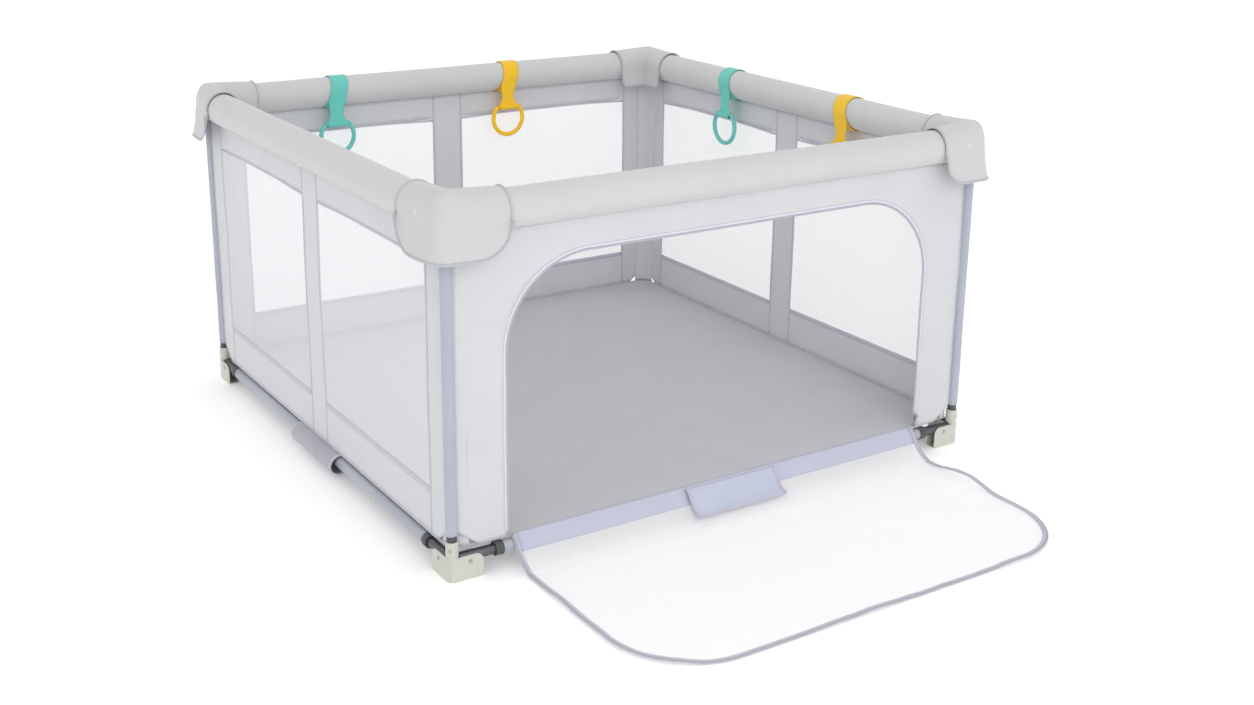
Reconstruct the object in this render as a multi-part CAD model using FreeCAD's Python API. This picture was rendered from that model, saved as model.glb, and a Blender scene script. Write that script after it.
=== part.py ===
"""Square baby playpen: plug-together steel frame, padded top rails, fabric walls with mesh
windows, a zip-off door lying open in front, and four hand rings hanging from the top rails.

Millimetres, +Z up, +X to the right along the front, +Y towards the back.
Every piece is drawn about the centre of the four posts. On saving it is moved so that the
origin is the middle of the whole footprint, open door included, at floor level.
"""
import FreeCAD
import Part
import math
import os
from FreeCAD import Vector

# ---------------------------------------------------------------- driving dimensions
pen_width = 1220.0             # across the outer faces of two feet, both ways
rail_pad_height = 660.0        # axis of the padded top rails
rail_pad_radius = 35.0
bottom_rail_height = 39.0      # axis of the bottom rails

post_radius = 8.0
post_wall = 0.8
bottom_rail_radius = 12.0
bottom_rail_wall = 0.8
top_rail_radius = 11.0
top_rail_wall = 0.8
spigot_slack = 2.5             # bottom rail's radius over that of the steel stub in it
spigot_wall = 1.2
spigot_grip = 50.0             # length of stub inside the rail
coupler_length = 120.0         # sleeve inside the two halves of a bottom rail
coupler_wall = 1.5

foot_arm = 68.0                # length of each foot arm from its outer corner
foot_height = 45.0
foot_plate = 2.2
foot_room = 0.3                # between a stub and the foot plates beside it
foot_top_round = 15.0
socket_wall = 3.4
socket_height = 75.0
socket_floor = 14.0            # solid bottom of the socket that the post stands on
rivet_along = 0.62             # share of the foot arm from its corner to the rivet
rivet_below = 6.0              # rivet under the rail's axis, clear of the stub's middle
rivet_radius = 2.0
rivet_head_radius = 3.6
rivet_head = 1.2
collar_proud = 1.5             # collar over the rail's outside
collar_length = 16.0
collar_liner = 12.0            # how far its liner reaches on into the rail
collar_lip = 4.0
collar_gap = 26.0              # bare stub between the foot arm and the collar
ferrule_height = 11.0
ferrule_wall = 1.1
rail_plug = 45.0               # corner connector's plugs in the top rails
post_plug_length = 40.0        # and its plug in the post

fabric = 2.0                   # sewn oxford wall panel
floor_thickness = 3.0
floor_lift = 5.0               # underside of the stretched floor over the rails' tops
floor_corner = 8.0             # gap between a post socket and the floor's cut corner
mesh_thickness = 1.0
sleeve_wall = 0.9
cover_wall = 1.5               # cloth sewn round the rail foam
notch_width = 44.0             # lower panel corner cut away at each foot
notch_height = 33.0

window_bottom = 142.0
window_head = 56.0             # wall between a window and the top rail's pad
window_side = 80.0             # wall strip between a post and its window
window_post = 80.0             # central strip between the two windows
window_round = 10.0

door_jamb = 104.0              # post line to the outer edge of the zip tape on the wall
door_head = 52.0               # wall between that edge and the top rail's pad
door_round = 176.0
zip_tape = 11.0
zip_tape_thickness = 2.4
zip_foot = 4.0                 # tape's lower end over the seam
hem_start = 3.4                # first of the door's cloth, down from the seam
fold_reach = 62.0              # the seam to the fold on the ground, outwards
fold_height = 3.5              # middle of the door fabric where it lies on the ground
door_band = 36.0               # closed cloth between the seam and the door mesh
fold_gap = 1.0                 # between the pieces on the two sides of the fold

tab_half_width = 104.0
tab_slack = 10.5               # tab's loop over the rail's radius
tab_thickness = 2.0
tab_hang = 5.0                 # middle of the tab's loop under the rail's axis
tab_opening = 6.0              # side of the loop that is left open towards the pen
tab_offset = 4.0               # how far the loop's middle stands outside the rail
front_tab_start = 7.0          # down from the seam
front_tab_length = 60.0
front_tab_thickness = 2.5

cap_wall = 2.5
cap_arm = 106.0                # corner cover's arm along each rail from the post axis
cap_drop = 73.0                # rail axis down to the cover's outer edge
cap_inner_drop = 49.0          # rail axis down to its inner edge
cap_edge_round = 60.0

strap_width = 41.0
strap_neck = 31.0              # narrowest, just under the rail
strap_foot = 48.0              # where the tail folds round the ring's bar
strap_neck_below = 11.0        # rail pad's underside down to the neck
strap_thickness = 2.0
ring_hang = 36.0               # rail pad's underside down to the ring's straight bar
strap_loop_wall = 1.4
ring_radius = 41.0             # to the middle of the ring's rod
ring_rod = 5.2
ring_bar_half = 28.5           # half of the ring's straight top bar
ring_places = {                # side, distance along it from its middle
    "back_left": ("back", -305.0),
    "back_right": ("back", 152.0),
    "right_back": ("right", 200.0),
    "right_front": ("right", -235.0),
}

button_radius = 2.5
button_inner = 5.5             # post axis to the button's inner end
button_proud = 0.9
button_rise = 15.0             # over the foot's top
button_travel = 5.0            # pushed in until it clears the socket

slider_length = 13.0
slider_width = 7.5
slider_thickness = 4.0
slider_rest = 23.0             # middle of the parked slider over the seam
slider_corner = 1.5
slider_ear = 2.2               # ear's half height, in pin radii
pull_length = 24.0
pull_width = 6.0
pull_thickness = 1.4
pull_corner = 1.8
pull_neck = 8.0                # pin down to the wide tongue
pull_ear_gap = 1.3             # how much narrower the knuckle is than the tongue, each side
pull_pin_radius = 1.0

# ---------------------------------------------------------------- clearances
clear_fit = 0.1                # plug-together tube and moulding fits
clear_cloth = 0.3              # cloth that slides round its neighbour
clear_zip = 1.0                # door edge to the tape on the wall
clear_pin = 0.06               # running fit of the zip pull on its pin
clear_button = 0.08
clear_cap = 0.6                # corner cover over the rail pads
clear_edge = 0.4               # panel edge to post sleeve
rail_end_gap = 1.0             # between the two halves of a rail
pad_corner_gap = 3.0           # between the pads of two neighbouring rails

# ---------------------------------------------------------------- worked-out places
spigot_radius = bottom_rail_radius - spigot_slack
post_inset = spigot_radius + foot_plate + foot_room     # post axis in from the outer face
line = pen_width / 2 - post_inset                       # posts and rails lie on this square
socket_radius = post_radius + clear_fit + socket_wall
collar_radius = bottom_rail_radius + collar_proud
floor_height = bottom_rail_height + bottom_rail_radius + floor_lift
hinge_height = floor_height + floor_thickness           # seam that the door turns on
tab_radius = bottom_rail_radius + tab_slack
tab_drop = bottom_rail_height - tab_hang
cap_bottom = rail_pad_height - cap_drop
cap_inner_bottom = rail_pad_height - cap_inner_drop
strap_drop = rail_pad_radius + ring_hang                # rail axis down to the ring's bar
door_half_width = line - door_jamb
foot_outer = pen_width / 2
cap_radius = rail_pad_radius + clear_cap + cap_wall
sleeve_radius = post_radius + clear_fit + sleeve_wall
panel_edge = line - sleeve_radius - clear_edge
panel_top = rail_pad_height - rail_pad_radius
panel_inner = line - fabric / 2
window_top = panel_top - window_head
door_top = panel_top - door_head
pad_end = line - rail_pad_radius - pad_corner_gap
collar_start = foot_outer - foot_arm - collar_gap       # outer end of the collar
rail_end = collar_start - collar_lip                    # outer end of a bottom rail tube
connector_radius = top_rail_radius + 3.0
post_top = rail_pad_height - connector_radius
post_foot = socket_floor
hem_length = math.hypot(fold_reach, hinge_height - fold_height)
hem_slope = math.degrees(math.atan2(hinge_height - fold_height, fold_reach))
door_edge_top = door_top - zip_tape - clear_zip
door_edge_half = door_half_width - zip_tape - clear_zip
door_edge_round = door_round - zip_tape - clear_zip
flap_length = door_edge_top - hinge_height - hem_length
fold_y = -line - fold_reach
front_reach = -fold_y + flap_length                     # furthest the open door comes out
back_reach = line + cap_radius
origin_shift = Vector(0, (front_reach - back_reach) / 2, 0)

SIDES = {"front": 0, "right": 90, "back": 180, "left": 270}
CORNERS = {"front_left": 0, "front_right": 90, "back_right": 180, "back_left": 270}
X = Vector(1, 0, 0)
Y = Vector(0, 1, 0)
Z = Vector(0, 0, 1)
CENTRE = Vector(0, 0, 0)
ROUND_CORNER = 2               # how a swept rod goes round a sharp turn in its path


# ---------------------------------------------------------------- small makers
def block(low, high):
    """A box between two opposite corners."""
    size = Vector(*high) - Vector(*low)
    return Part.makeBox(size.x, size.y, size.z, Vector(*low))


def rod(start, direction, radius, length):
    """A solid round bar."""
    return Part.makeCylinder(radius, length, Vector(*start), direction)


def tube(start, direction, outer, inner, length):
    """A round bar with a bore right through."""
    return rod(start, direction, outer, length).cut(rod(start, direction, inner, length))


def face_of(edges):
    """A flat face inside one closed run of edges."""
    return Part.Face(Part.Wire(edges))


def loop_face(points):
    """A flat face inside a closed outline of straight edges."""
    return Part.Face(Part.makePolygon([Vector(*p) for p in points + points[:1]]))


def spin(shape, centre, axis, angle):
    """A copy turned about an axis."""
    copy = shape.copy()
    copy.rotate(centre, axis, angle)
    return copy


def group(shapes):
    """Like pieces kept as separate solids in one node."""
    return Part.makeCompound(shapes)


def save(shape, node):
    """Write one node, moved to the pen's own origin."""
    shape = shape.copy()
    shape.translate(origin_shift)
    solids = shape.Solids
    clean = solids[0] if len(solids) == 1 else Part.makeCompound(solids)
    clean.exportStep("parts/" + node + ".step")


def arch(half_width, top, radius, bottom):
    """Upright door outline in the plane y = 0: straight jambs under two round corners."""
    spring = top - radius
    bend = radius * (1 - math.sqrt(0.5))
    left_low = Vector(-half_width, 0, bottom)
    left_spring = Vector(-half_width, 0, spring)
    left_top = Vector(radius - half_width, 0, top)
    right_top = Vector(half_width - radius, 0, top)
    right_spring = Vector(half_width, 0, spring)
    right_low = Vector(half_width, 0, bottom)
    left_mid = Vector(bend - half_width, 0, top - bend)
    right_mid = Vector(half_width - bend, 0, top - bend)
    return face_of([
        Part.LineSegment(left_low, left_spring).toShape(),
        Part.Arc(left_spring, left_mid, left_top).toShape(),
        Part.LineSegment(left_top, right_top).toShape(),
        Part.Arc(right_top, right_mid, right_spring).toShape(),
        Part.LineSegment(right_spring, right_low).toShape(),
        Part.LineSegment(right_low, left_low).toShape(),
    ])


def plate(face, thickness):
    """An upright outline given a thickness, centred on its own plane."""
    body = face.extrude(Vector(0, thickness, 0))
    body.translate(Vector(0, -thickness / 2, 0))
    return body


def at_wall(shape):
    """A piece drawn in the plane y = 0, moved into the front wall."""
    shape = shape.copy()
    shape.translate(Vector(0, -line, 0))
    return shape


# ---------------------------------------------------------------- frame
def foot():
    """Moulded corner foot: an L of two channels round a post socket."""
    inner = 2 * post_inset
    low = -foot_outer
    arms = []
    for angle in (0, 90):
        base = block((low, low, 0), (low + foot_arm, low + inner, foot_plate))
        outer_wall = block((low, low, 0), (low + foot_arm, low + foot_plate, foot_height))
        inner_wall = block(
            (low + inner - foot_plate, low + inner - foot_plate, 0),
            (low + foot_arm, low + inner, foot_height),
        )
        arm = base.fuse(outer_wall).fuse(inner_wall)
        rounds = [
            e for e in arm.Edges
            if abs(e.CenterOfMass.x - (low + foot_arm)) < 0.1
            and abs(e.CenterOfMass.z - foot_height) < 0.1
        ]
        arm = arm.makeFillet(foot_top_round, rounds)
        if angle:
            arm = arm.mirror(CENTRE, Vector(1, -1, 0))
        arms.append(arm)
    socket = rod((-line, -line, 0), Z, socket_radius, socket_height)
    body = arms[0].fuse(arms[1]).fuse(socket)
    bore = rod((-line, -line, socket_floor), Z, post_radius + clear_fit, socket_height)
    hollow = block(
        (low - 1, low - 1, -1),
        (low + post_inset, low + post_inset, foot_height + 1),
    )
    rounding = rod((low + post_inset, low + post_inset, -1), Z, post_inset, foot_height + 2)
    body = body.cut(hollow.cut(rounding))
    for hole in rivet_holes(rivet_radius + clear_fit):
        body = body.cut(hole)
    body = body.cut(bore)
    return body.cut(button_hole()).removeSplitter()


def rivet_line():
    """Where the rivet crosses each foot arm, along the arm from the pen's middle."""
    return -foot_outer + foot_arm * rivet_along


def rivet_holes(radius):
    z = bottom_rail_height - rivet_below
    along_y = rod((rivet_line(), -foot_outer - 5, z), Y, radius, foot_arm)
    return [along_y, along_y.mirror(CENTRE, Vector(1, -1, 0))]


def rivets():
    """One flat-headed rivet through each foot arm and the stub in it."""
    width = 2 * post_inset
    z = bottom_rail_height - rivet_below
    shank = rod((rivet_line(), -foot_outer, z), Y, rivet_radius, width)
    head = rod((rivet_line(), -foot_outer - rivet_head, z), Y, rivet_head_radius, rivet_head)
    tail = rod((rivet_line(), -foot_outer + width, z), Y, rivet_head_radius, rivet_head)
    one = shank.fuse(head).fuse(tail)
    return [one, one.mirror(CENTRE, Vector(1, -1, 0))]


def spigots():
    """Straight steel stubs that reach from the foot into the two rails."""
    start = -line + socket_radius + clear_fit
    length = -rail_end + spigot_grip - start
    one = tube((start, -line, bottom_rail_height), X, spigot_radius,
               spigot_radius - spigot_wall, length)
    for hole in rivet_holes(rivet_radius + clear_fit):
        one = one.cut(hole)
    return [one, one.mirror(CENTRE, Vector(1, -1, 0))]


def collars():
    """Dark plastic bush that centres a stub in the rail's end."""
    outer_end = -collar_start
    over_stub = spigot_radius + clear_fit
    body = rod((outer_end, -line, bottom_rail_height), X, collar_radius, collar_length)
    liner = rod((outer_end, -line, bottom_rail_height), X,
                bottom_rail_radius - bottom_rail_wall - clear_fit, collar_length + collar_liner)
    seat = tube((-rail_end, -line, bottom_rail_height), X, bottom_rail_radius + clear_fit,
                bottom_rail_radius - bottom_rail_wall - clear_fit, collar_length)
    bore = rod((outer_end - 1, -line, bottom_rail_height), X, over_stub,
               collar_length + collar_liner + 2)
    one = body.fuse(liner).cut(seat).cut(bore).removeSplitter()
    return [one, one.mirror(CENTRE, Vector(1, -1, 0))]


def bottom_rail():
    """Two painted steel half tubes that meet in the middle of the front."""
    half = rail_end - rail_end_gap / 2
    inner = bottom_rail_radius - bottom_rail_wall
    left = tube((-rail_end, -line, bottom_rail_height), X, bottom_rail_radius, inner, half)
    right = tube((rail_end_gap / 2, -line, bottom_rail_height), X, bottom_rail_radius, inner, half)
    return group([left, right])


def rail_coupler():
    """Steel sleeve inside the two halves of a bottom rail."""
    outer = bottom_rail_radius - bottom_rail_wall - clear_fit
    start = (-coupler_length / 2, -line, bottom_rail_height)
    return tube(start, X, outer, outer - coupler_wall, coupler_length)


def post():
    """Upright steel tube from the socket's floor to the top connector."""
    body = tube((-line, -line, post_foot), Z, post_radius, post_radius - post_wall,
                post_top - post_foot)
    return body.cut(button_hole())


def ferrule():
    """Dark plastic ring on the post, just over the socket."""
    return tube((-line, -line, socket_height + clear_fit), Z, post_radius + clear_fit + ferrule_wall,
                post_radius + clear_fit, ferrule_height)


def post_sleeve():
    """Cloth sleeve sewn to the two walls, slid over the post."""
    low = socket_height + ferrule_height + 1
    return tube((-line, -line, low), Z, sleeve_radius, post_radius + clear_fit,
                rail_pad_height - connector_radius - 2 - low)


def outward_diagonal():
    return Vector(-1, -1, 0).normalize()


def button_height():
    return foot_height + button_rise


def button_hole():
    direction = outward_diagonal()
    return rod((-line, -line, button_height()), direction, button_radius + clear_button, 30)


def snap_button():
    """Round-ended spring button that locks the post in its socket."""
    direction = outward_diagonal()
    start = Vector(-line, -line, button_height()) + direction * button_inner
    length = socket_radius + button_proud - button_inner
    stem = rod(tuple(start), direction, button_radius, length)
    tip = [e for e in stem.Edges if (e.CenterOfMass - start).Length > length - 0.1]
    return stem.makeFillet(button_radius * 0.4, tip)


def top_rail():
    """Steel tube inside one padded top rail."""
    end = line - connector_radius
    return tube((-end, -line, rail_pad_height), X, top_rail_radius,
                top_rail_radius - top_rail_wall, 2 * end)


def top_connector():
    """Three-way moulded corner with a plug for each rail and for the post."""
    plug = top_rail_radius - top_rail_wall - clear_fit
    post_plug = post_radius - post_wall - clear_fit
    corner = (-line, -line, rail_pad_height)
    body = Part.makeSphere(connector_radius, Vector(*corner))
    keep = block(
        (-line - connector_radius, -line - connector_radius, rail_pad_height - connector_radius),
        (-line + connector_radius - clear_fit, -line + connector_radius - clear_fit,
         rail_pad_height + connector_radius),
    )
    body = body.common(keep)
    for direction in (X, Y):
        body = body.fuse(rod(corner, direction, plug, connector_radius + rail_plug))
    return body.fuse(rod(corner, -Z, post_plug, connector_radius + post_plug_length))


def rail_foam():
    """Split foam tube round a top rail."""
    return tube((-pad_end, -line, rail_pad_height), X, rail_pad_radius - cover_wall - clear_fit,
                top_rail_radius + clear_fit, 2 * pad_end)


def rail_cover():
    """Cloth tube sewn round the foam, with the wall hanging from its underside."""
    return tube((-pad_end, -line, rail_pad_height), X, rail_pad_radius,
                rail_pad_radius - cover_wall, 2 * pad_end)


def saddle(radius, length, bottom):
    """Upside-down U lying along +X from the corner: a half tube on two straight sides."""
    top = rod((-line, -line, rail_pad_height), X, radius, length)
    sides = block((-line, -line - radius, bottom), (-line + length, -line + radius, rail_pad_height))
    return top.fuse(sides)


def cap_trim():
    """Side outline of a corner cover's arm, with its large rounded lower corner."""
    end = -line + cap_arm
    low = cap_bottom
    r = cap_edge_round
    high = rail_pad_height + cap_radius + 5
    a = Vector(-line, 0, low)
    b = Vector(end - r, 0, low)
    m = Vector(end - r + r * math.sin(math.pi / 4), 0, low + r - r * math.cos(math.pi / 4))
    c = Vector(end, 0, low + r)
    d = Vector(end, 0, high)
    e = Vector(-line, 0, high)
    outline = face_of([
        Part.LineSegment(a, b).toShape(),
        Part.Arc(b, m, c).toShape(),
        Part.LineSegment(c, d).toShape(),
        Part.LineSegment(d, e).toShape(),
        Part.LineSegment(e, a).toShape(),
    ])
    return plate(outline, 4 * line)


def corner_cover():
    """Shaped cloth cap over the corner, open underneath and at both arm ends."""
    corner = Vector(-line, -line, rail_pad_height)
    outer_arm = saddle(cap_radius, cap_arm, cap_bottom).common(cap_trim())
    dome = Part.makeSphere(cap_radius, corner)
    skirt = rod((-line, -line, cap_bottom), Z, cap_radius, rail_pad_height - cap_bottom)
    outer = outer_arm.fuse(outer_arm.mirror(CENTRE, Vector(1, -1, 0))).fuse(dome).fuse(skirt)
    inner_radius = cap_radius - cap_wall
    below = cap_bottom - 5
    inner_arm = saddle(inner_radius, cap_arm + 5, below)
    hollow = Part.makeSphere(inner_radius, corner)
    hollow = hollow.fuse(rod((-line, -line, below), Z, inner_radius, rail_pad_height - below))
    hollow = hollow.fuse(inner_arm).fuse(inner_arm.mirror(CENTRE, Vector(1, -1, 0)))
    inside = -line + inner_radius - 1
    lift = block((inside, inside, below), (0, 0, cap_inner_bottom))
    return outer.cut(hollow).cut(lift)


# ---------------------------------------------------------------- walls and floor
def wall_outline():
    """Whole wall between two posts, its two lower corners cut away over the feet."""
    low = floor_height
    return loop_face([
        (-panel_edge, 0, low + notch_height),
        (-panel_edge, 0, panel_top),
        (panel_edge, 0, panel_top),
        (panel_edge, 0, low + notch_height),
        (panel_edge - notch_width, 0, low),
        (notch_width - panel_edge, 0, low),
    ])


def windows(clearance, thickness):
    """The two upright window shapes of one wall."""
    shapes = []
    for side in (-1, 1):
        near = window_post / 2 + clearance
        far = line - window_side - clearance
        low = min(side * near, side * far)
        high = max(side * near, side * far)
        pane = block((low, -thickness / 2, window_bottom + clearance),
                     (high, thickness / 2, window_top - clearance))
        upright = [e for e in pane.Edges if abs(e.tangentAt(e.FirstParameter).y) > 0.9]
        shapes.append(pane.makeFillet(window_round, upright))
    return shapes


def strap_slits(side):
    """Slits in a wall's top seam where the ring straps pass under the rail."""
    half = strap_width / 2 + 1
    low = panel_top - strap_thickness - 3 * clear_cloth
    slits = []
    for place, along in ring_places.values():
        if place == side:
            x = along * {"back": -1, "right": 1}[side]
            slits.append(block((x - half, -fabric, low), (x + half, fabric, panel_top + 1)))
    return slits


def window_wall(side):
    """Oxford cloth wall with two openings for mesh."""
    wall = plate(wall_outline(), fabric)
    for slit in strap_slits(side):
        wall = wall.cut(slit)
    for pane in windows(0, fabric * 3):
        wall = wall.cut(pane)
    return at_wall(wall)


def window_meshes():
    return [at_wall(pane) for pane in windows(0, mesh_thickness)]


def door_wall():
    """Oxford cloth wall with the arched doorway cut out of it."""
    doorway = plate(arch(door_half_width, door_top, door_round, floor_height - 10), fabric * 3)
    return at_wall(plate(wall_outline(), fabric).cut(doorway))


def wall_zip_tape():
    """Zip tape sewn round the doorway."""
    low = hinge_height + zip_foot
    outside = plate(arch(door_half_width, door_top, door_round, low), zip_tape_thickness)
    inside = plate(
        arch(door_half_width - zip_tape, door_top - zip_tape, door_round - zip_tape, low - 10),
        zip_tape_thickness * 3,
    )
    return at_wall(outside.cut(inside))


def floor_sheet():
    """Floor cloth stretched level with the tops of the bottom rails."""
    edge = panel_inner
    sheet = block((-edge, -edge, floor_height), (edge, edge, floor_height + floor_thickness))
    for angle in CORNERS.values():
        corner = rod((-line, -line, 0), Z, socket_radius + floor_corner, 2 * floor_height)
        sheet = sheet.cut(spin(corner, CENTRE, Z, angle))
    strip = block((-door_half_width, -edge - 1, 0), (door_half_width, -line + 4, 2 * floor_height))
    return sheet.cut(strip)


def rail_tab():
    """Loop of floor cloth closed round the middle of a bottom rail."""
    middle = (-tab_half_width, -line - tab_offset, tab_drop)
    ring = tube(middle, X, tab_radius - clear_cloth, tab_radius - tab_thickness, 2 * tab_half_width)
    gap = block((-tab_half_width - 1, -line - tab_offset + tab_opening, tab_drop - 8),
                (tab_half_width + 1, -line + 2 * tab_radius, floor_height + 10))
    lid = block((-tab_half_width - 1, -line - 2 * tab_radius, floor_height - clear_cloth),
                (tab_half_width + 1, -line + 2 * tab_radius, floor_height + 10))
    return ring.cut(gap).cut(lid)


# ---------------------------------------------------------------- door
def hem_plate(start, end, low_x, high_x, thickness, lift=0.0):
    """A strip on the sloping part of the open door, measured down the slope from the seam."""
    strip = block((low_x, -end, lift - thickness / 2), (high_x, -start, lift + thickness / 2))
    strip.rotate(CENTRE, X, hem_slope)
    strip.translate(Vector(0, -line, hinge_height))
    return strip


def hem_band():
    """Closed cloth band of the door, next to the seam."""
    side = door_edge_half - zip_tape
    return hem_plate(hem_start, door_band, -side, side, fabric)


def hem_mesh():
    side = door_edge_half - zip_tape
    return hem_plate(door_band, hem_length - fold_gap, -side, side, mesh_thickness)


def hem_tape():
    """Zip tape down the two sides of the sloping part."""
    half = door_edge_half
    left = hem_plate(hem_start, hem_length - fold_gap, -half, zip_tape - half, zip_tape_thickness)
    right = hem_plate(hem_start, hem_length - fold_gap, half - zip_tape, half, zip_tape_thickness)
    return group([left, right])


def front_tab():
    """Front rail tab, undone and lying on the door's band."""
    lift = fabric / 2 + front_tab_thickness / 2 + clear_fit
    return hem_plate(front_tab_start, front_tab_start + front_tab_length, -tab_half_width, tab_half_width,
                     front_tab_thickness, lift)


def laid_down(upright):
    """Door outline drawn upright at the fold, laid out on the ground in front."""
    flat = spin(upright, CENTRE, X, 90)
    flat.translate(Vector(0, fold_y, fold_height))
    return flat


def flap_outline(inset):
    """Upper part of the door above the fold, in from its edge by the inset."""
    return arch(door_edge_half - inset, flap_length - inset, door_edge_round - inset, fold_gap)


def flap_mesh():
    return laid_down(plate(flap_outline(zip_tape), mesh_thickness))


def flap_tape():
    """Zip tape and binding round the door's edge."""
    outside = plate(flap_outline(0), zip_tape_thickness)
    inside = plate(
        arch(door_edge_half - zip_tape, flap_length - zip_tape, door_edge_round - zip_tape, -10),
        zip_tape_thickness * 3,
    )
    return laid_down(outside.cut(inside))


def zip_slider():
    """Zip slider on the wall's tape, with two ears for the pull's pin."""
    x = door_half_width - zip_tape / 2
    y = -line - zip_tape_thickness / 2 - clear_cloth
    middle = hinge_height + slider_rest
    low = middle - slider_length / 2
    body = block((x - slider_width / 2, y - slider_thickness, low),
                 (x + slider_width / 2, y, low + slider_length))
    upright = [e for e in body.Edges if abs(e.tangentAt(e.FirstParameter).y) > 0.9]
    body = body.makeFillet(slider_corner, upright)
    eye = pull_pin_radius * slider_ear
    pin_y = y - slider_thickness - eye
    for side in (-1, 1):
        inner = side * (pull_width / 2 - pull_ear_gap)
        outer = side * (slider_width / 2)
        ear_low = min(x + inner, x + outer)
        body = body.fuse(rod((ear_low, pin_y, middle), X, eye, abs(outer - inner)))
        body = body.fuse(block((ear_low, pin_y, middle - eye),
                               (ear_low + abs(outer - inner), y - slider_thickness,
                                middle + eye)))
    pin = rod((x - slider_width / 2, pin_y, middle), X, pull_pin_radius, slider_width)
    return body.fuse(pin)


def pull_axis():
    """Middle of the pin that the zip pull hangs on."""
    x = door_half_width - zip_tape / 2
    back = -line - zip_tape_thickness / 2 - clear_cloth
    return Vector(x, back - slider_thickness - pull_pin_radius * slider_ear,
                  hinge_height + slider_rest)


def zip_pull():
    """Flat tongue with a knuckle round the slider's pin."""
    pin = pull_axis()
    half = pull_width / 2 - pull_ear_gap - clear_fit
    knuckle = rod((pin.x - half, pin.y, pin.z), X, pull_pin_radius * 2, 2 * half)
    neck = block((pin.x - half, pin.y - pull_thickness / 2, pin.z - pull_neck),
                 (pin.x + half, pin.y + pull_thickness / 2, pin.z))
    tongue = block((pin.x - pull_width / 2, pin.y - pull_thickness / 2, pin.z - pull_length),
                   (pin.x + pull_width / 2, pin.y + pull_thickness / 2, pin.z - pull_neck + 2))
    corners = [e for e in tongue.Edges if abs(e.tangentAt(e.FirstParameter).y) > 0.9]
    tongue = tongue.makeFillet(pull_corner, corners)
    bore = rod((pin.x - half - 1, pin.y, pin.z), X, pull_pin_radius + clear_pin, 2 * half + 2)
    return knuckle.fuse(neck).fuse(tongue).cut(bore)


# ---------------------------------------------------------------- hand rings
def ring_strap():
    """Webbing loop round a top rail, its tail holding the ring; drawn at the front wall."""
    inner = rail_pad_radius + clear_cloth
    outer = inner + strap_thickness
    half = strap_width / 2
    loop = tube((-half, -line, rail_pad_height), X, outer, inner, strap_width)
    bar_z = rail_pad_height - strap_drop
    hold = ring_rod + clear_cloth
    knuckle_radius = hold + strap_loop_wall
    back = -line + inner
    tail_low = bar_z + knuckle_radius / 2
    neck_z = panel_top - strap_neck_below
    outline = loop_face([
        (-half, back, rail_pad_height),
        (-strap_neck / 2, back, neck_z),
        (-strap_foot / 2, back, tail_low),
        (strap_foot / 2, back, tail_low),
        (strap_neck / 2, back, neck_z),
        (half, back, rail_pad_height),
    ])
    tail = outline.extrude(Vector(0, strap_thickness, 0))
    bar = (-strap_foot / 2, back + strap_thickness / 2, bar_z)
    knuckle = rod(bar, X, knuckle_radius, strap_foot)
    bore = rod((-strap_foot, bar[1], bar_z), X, hold, 2 * strap_foot)
    return loop.fuse(tail).fuse(knuckle).cut(bore)


def hand_ring():
    """Moulded ring with a straight bar at its top, drawn at the front wall."""
    y = -line + rail_pad_radius + clear_cloth + strap_thickness / 2
    bar_z = rail_pad_height - strap_drop
    centre_z = bar_z - math.sqrt(ring_radius ** 2 - ring_bar_half ** 2)
    middle = Vector(0, y, bar_z)
    left = Vector(-ring_bar_half, y, bar_z)
    right = Vector(ring_bar_half, y, bar_z)
    low = Vector(0, y, centre_z - ring_radius)
    hoop = Part.Wire([
        Part.makeLine(middle, right),
        Part.Arc(right, low, left).toShape(),
        Part.makeLine(left, middle),
    ])
    section = Part.Wire([Part.makeCircle(ring_rod, middle, X)])
    return hoop.makePipeShell([section], True, False, ROUND_CORNER)


def placed_ring(shape, side, along):
    """Move a front-wall piece to its side, at a distance along X or Y from the middle."""
    angle = SIDES[side]
    sign = {"back": -1, "right": 1}[side]
    moved = shape.copy()
    moved.translate(Vector(sign * along, 0, 0))
    return spin(moved, CENTRE, Z, angle)


# ---------------------------------------------------------------- build every node
os.makedirs("parts", exist_ok=True)

nodes = {}
for name, angle in CORNERS.items():
    nodes["foot_" + name] = spin(foot(), CENTRE, Z, angle)
    nodes["post_" + name] = spin(post(), CENTRE, Z, angle)
    nodes["post_button_" + name] = spin(snap_button(), CENTRE, Z, angle)
    nodes["corner_cover_" + name] = spin(corner_cover(), CENTRE, Z, angle)

for name, angle in SIDES.items():
    nodes["bottom_rail_" + name] = spin(bottom_rail(), CENTRE, Z, angle)
    nodes["top_rail_" + name] = spin(top_rail(), CENTRE, Z, angle)
    nodes["rail_cover_" + name] = spin(rail_cover(), CENTRE, Z, angle)


def each_corner(shapes):
    """The same pieces at all four corners."""
    return group([spin(s, CENTRE, Z, angle) for s in shapes for angle in CORNERS.values()])


def each_side(shapes, sides=tuple(SIDES)):
    """The same pieces on the named sides."""
    return group([spin(s, CENTRE, Z, SIDES[side]) for s in shapes for side in sides])


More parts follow.
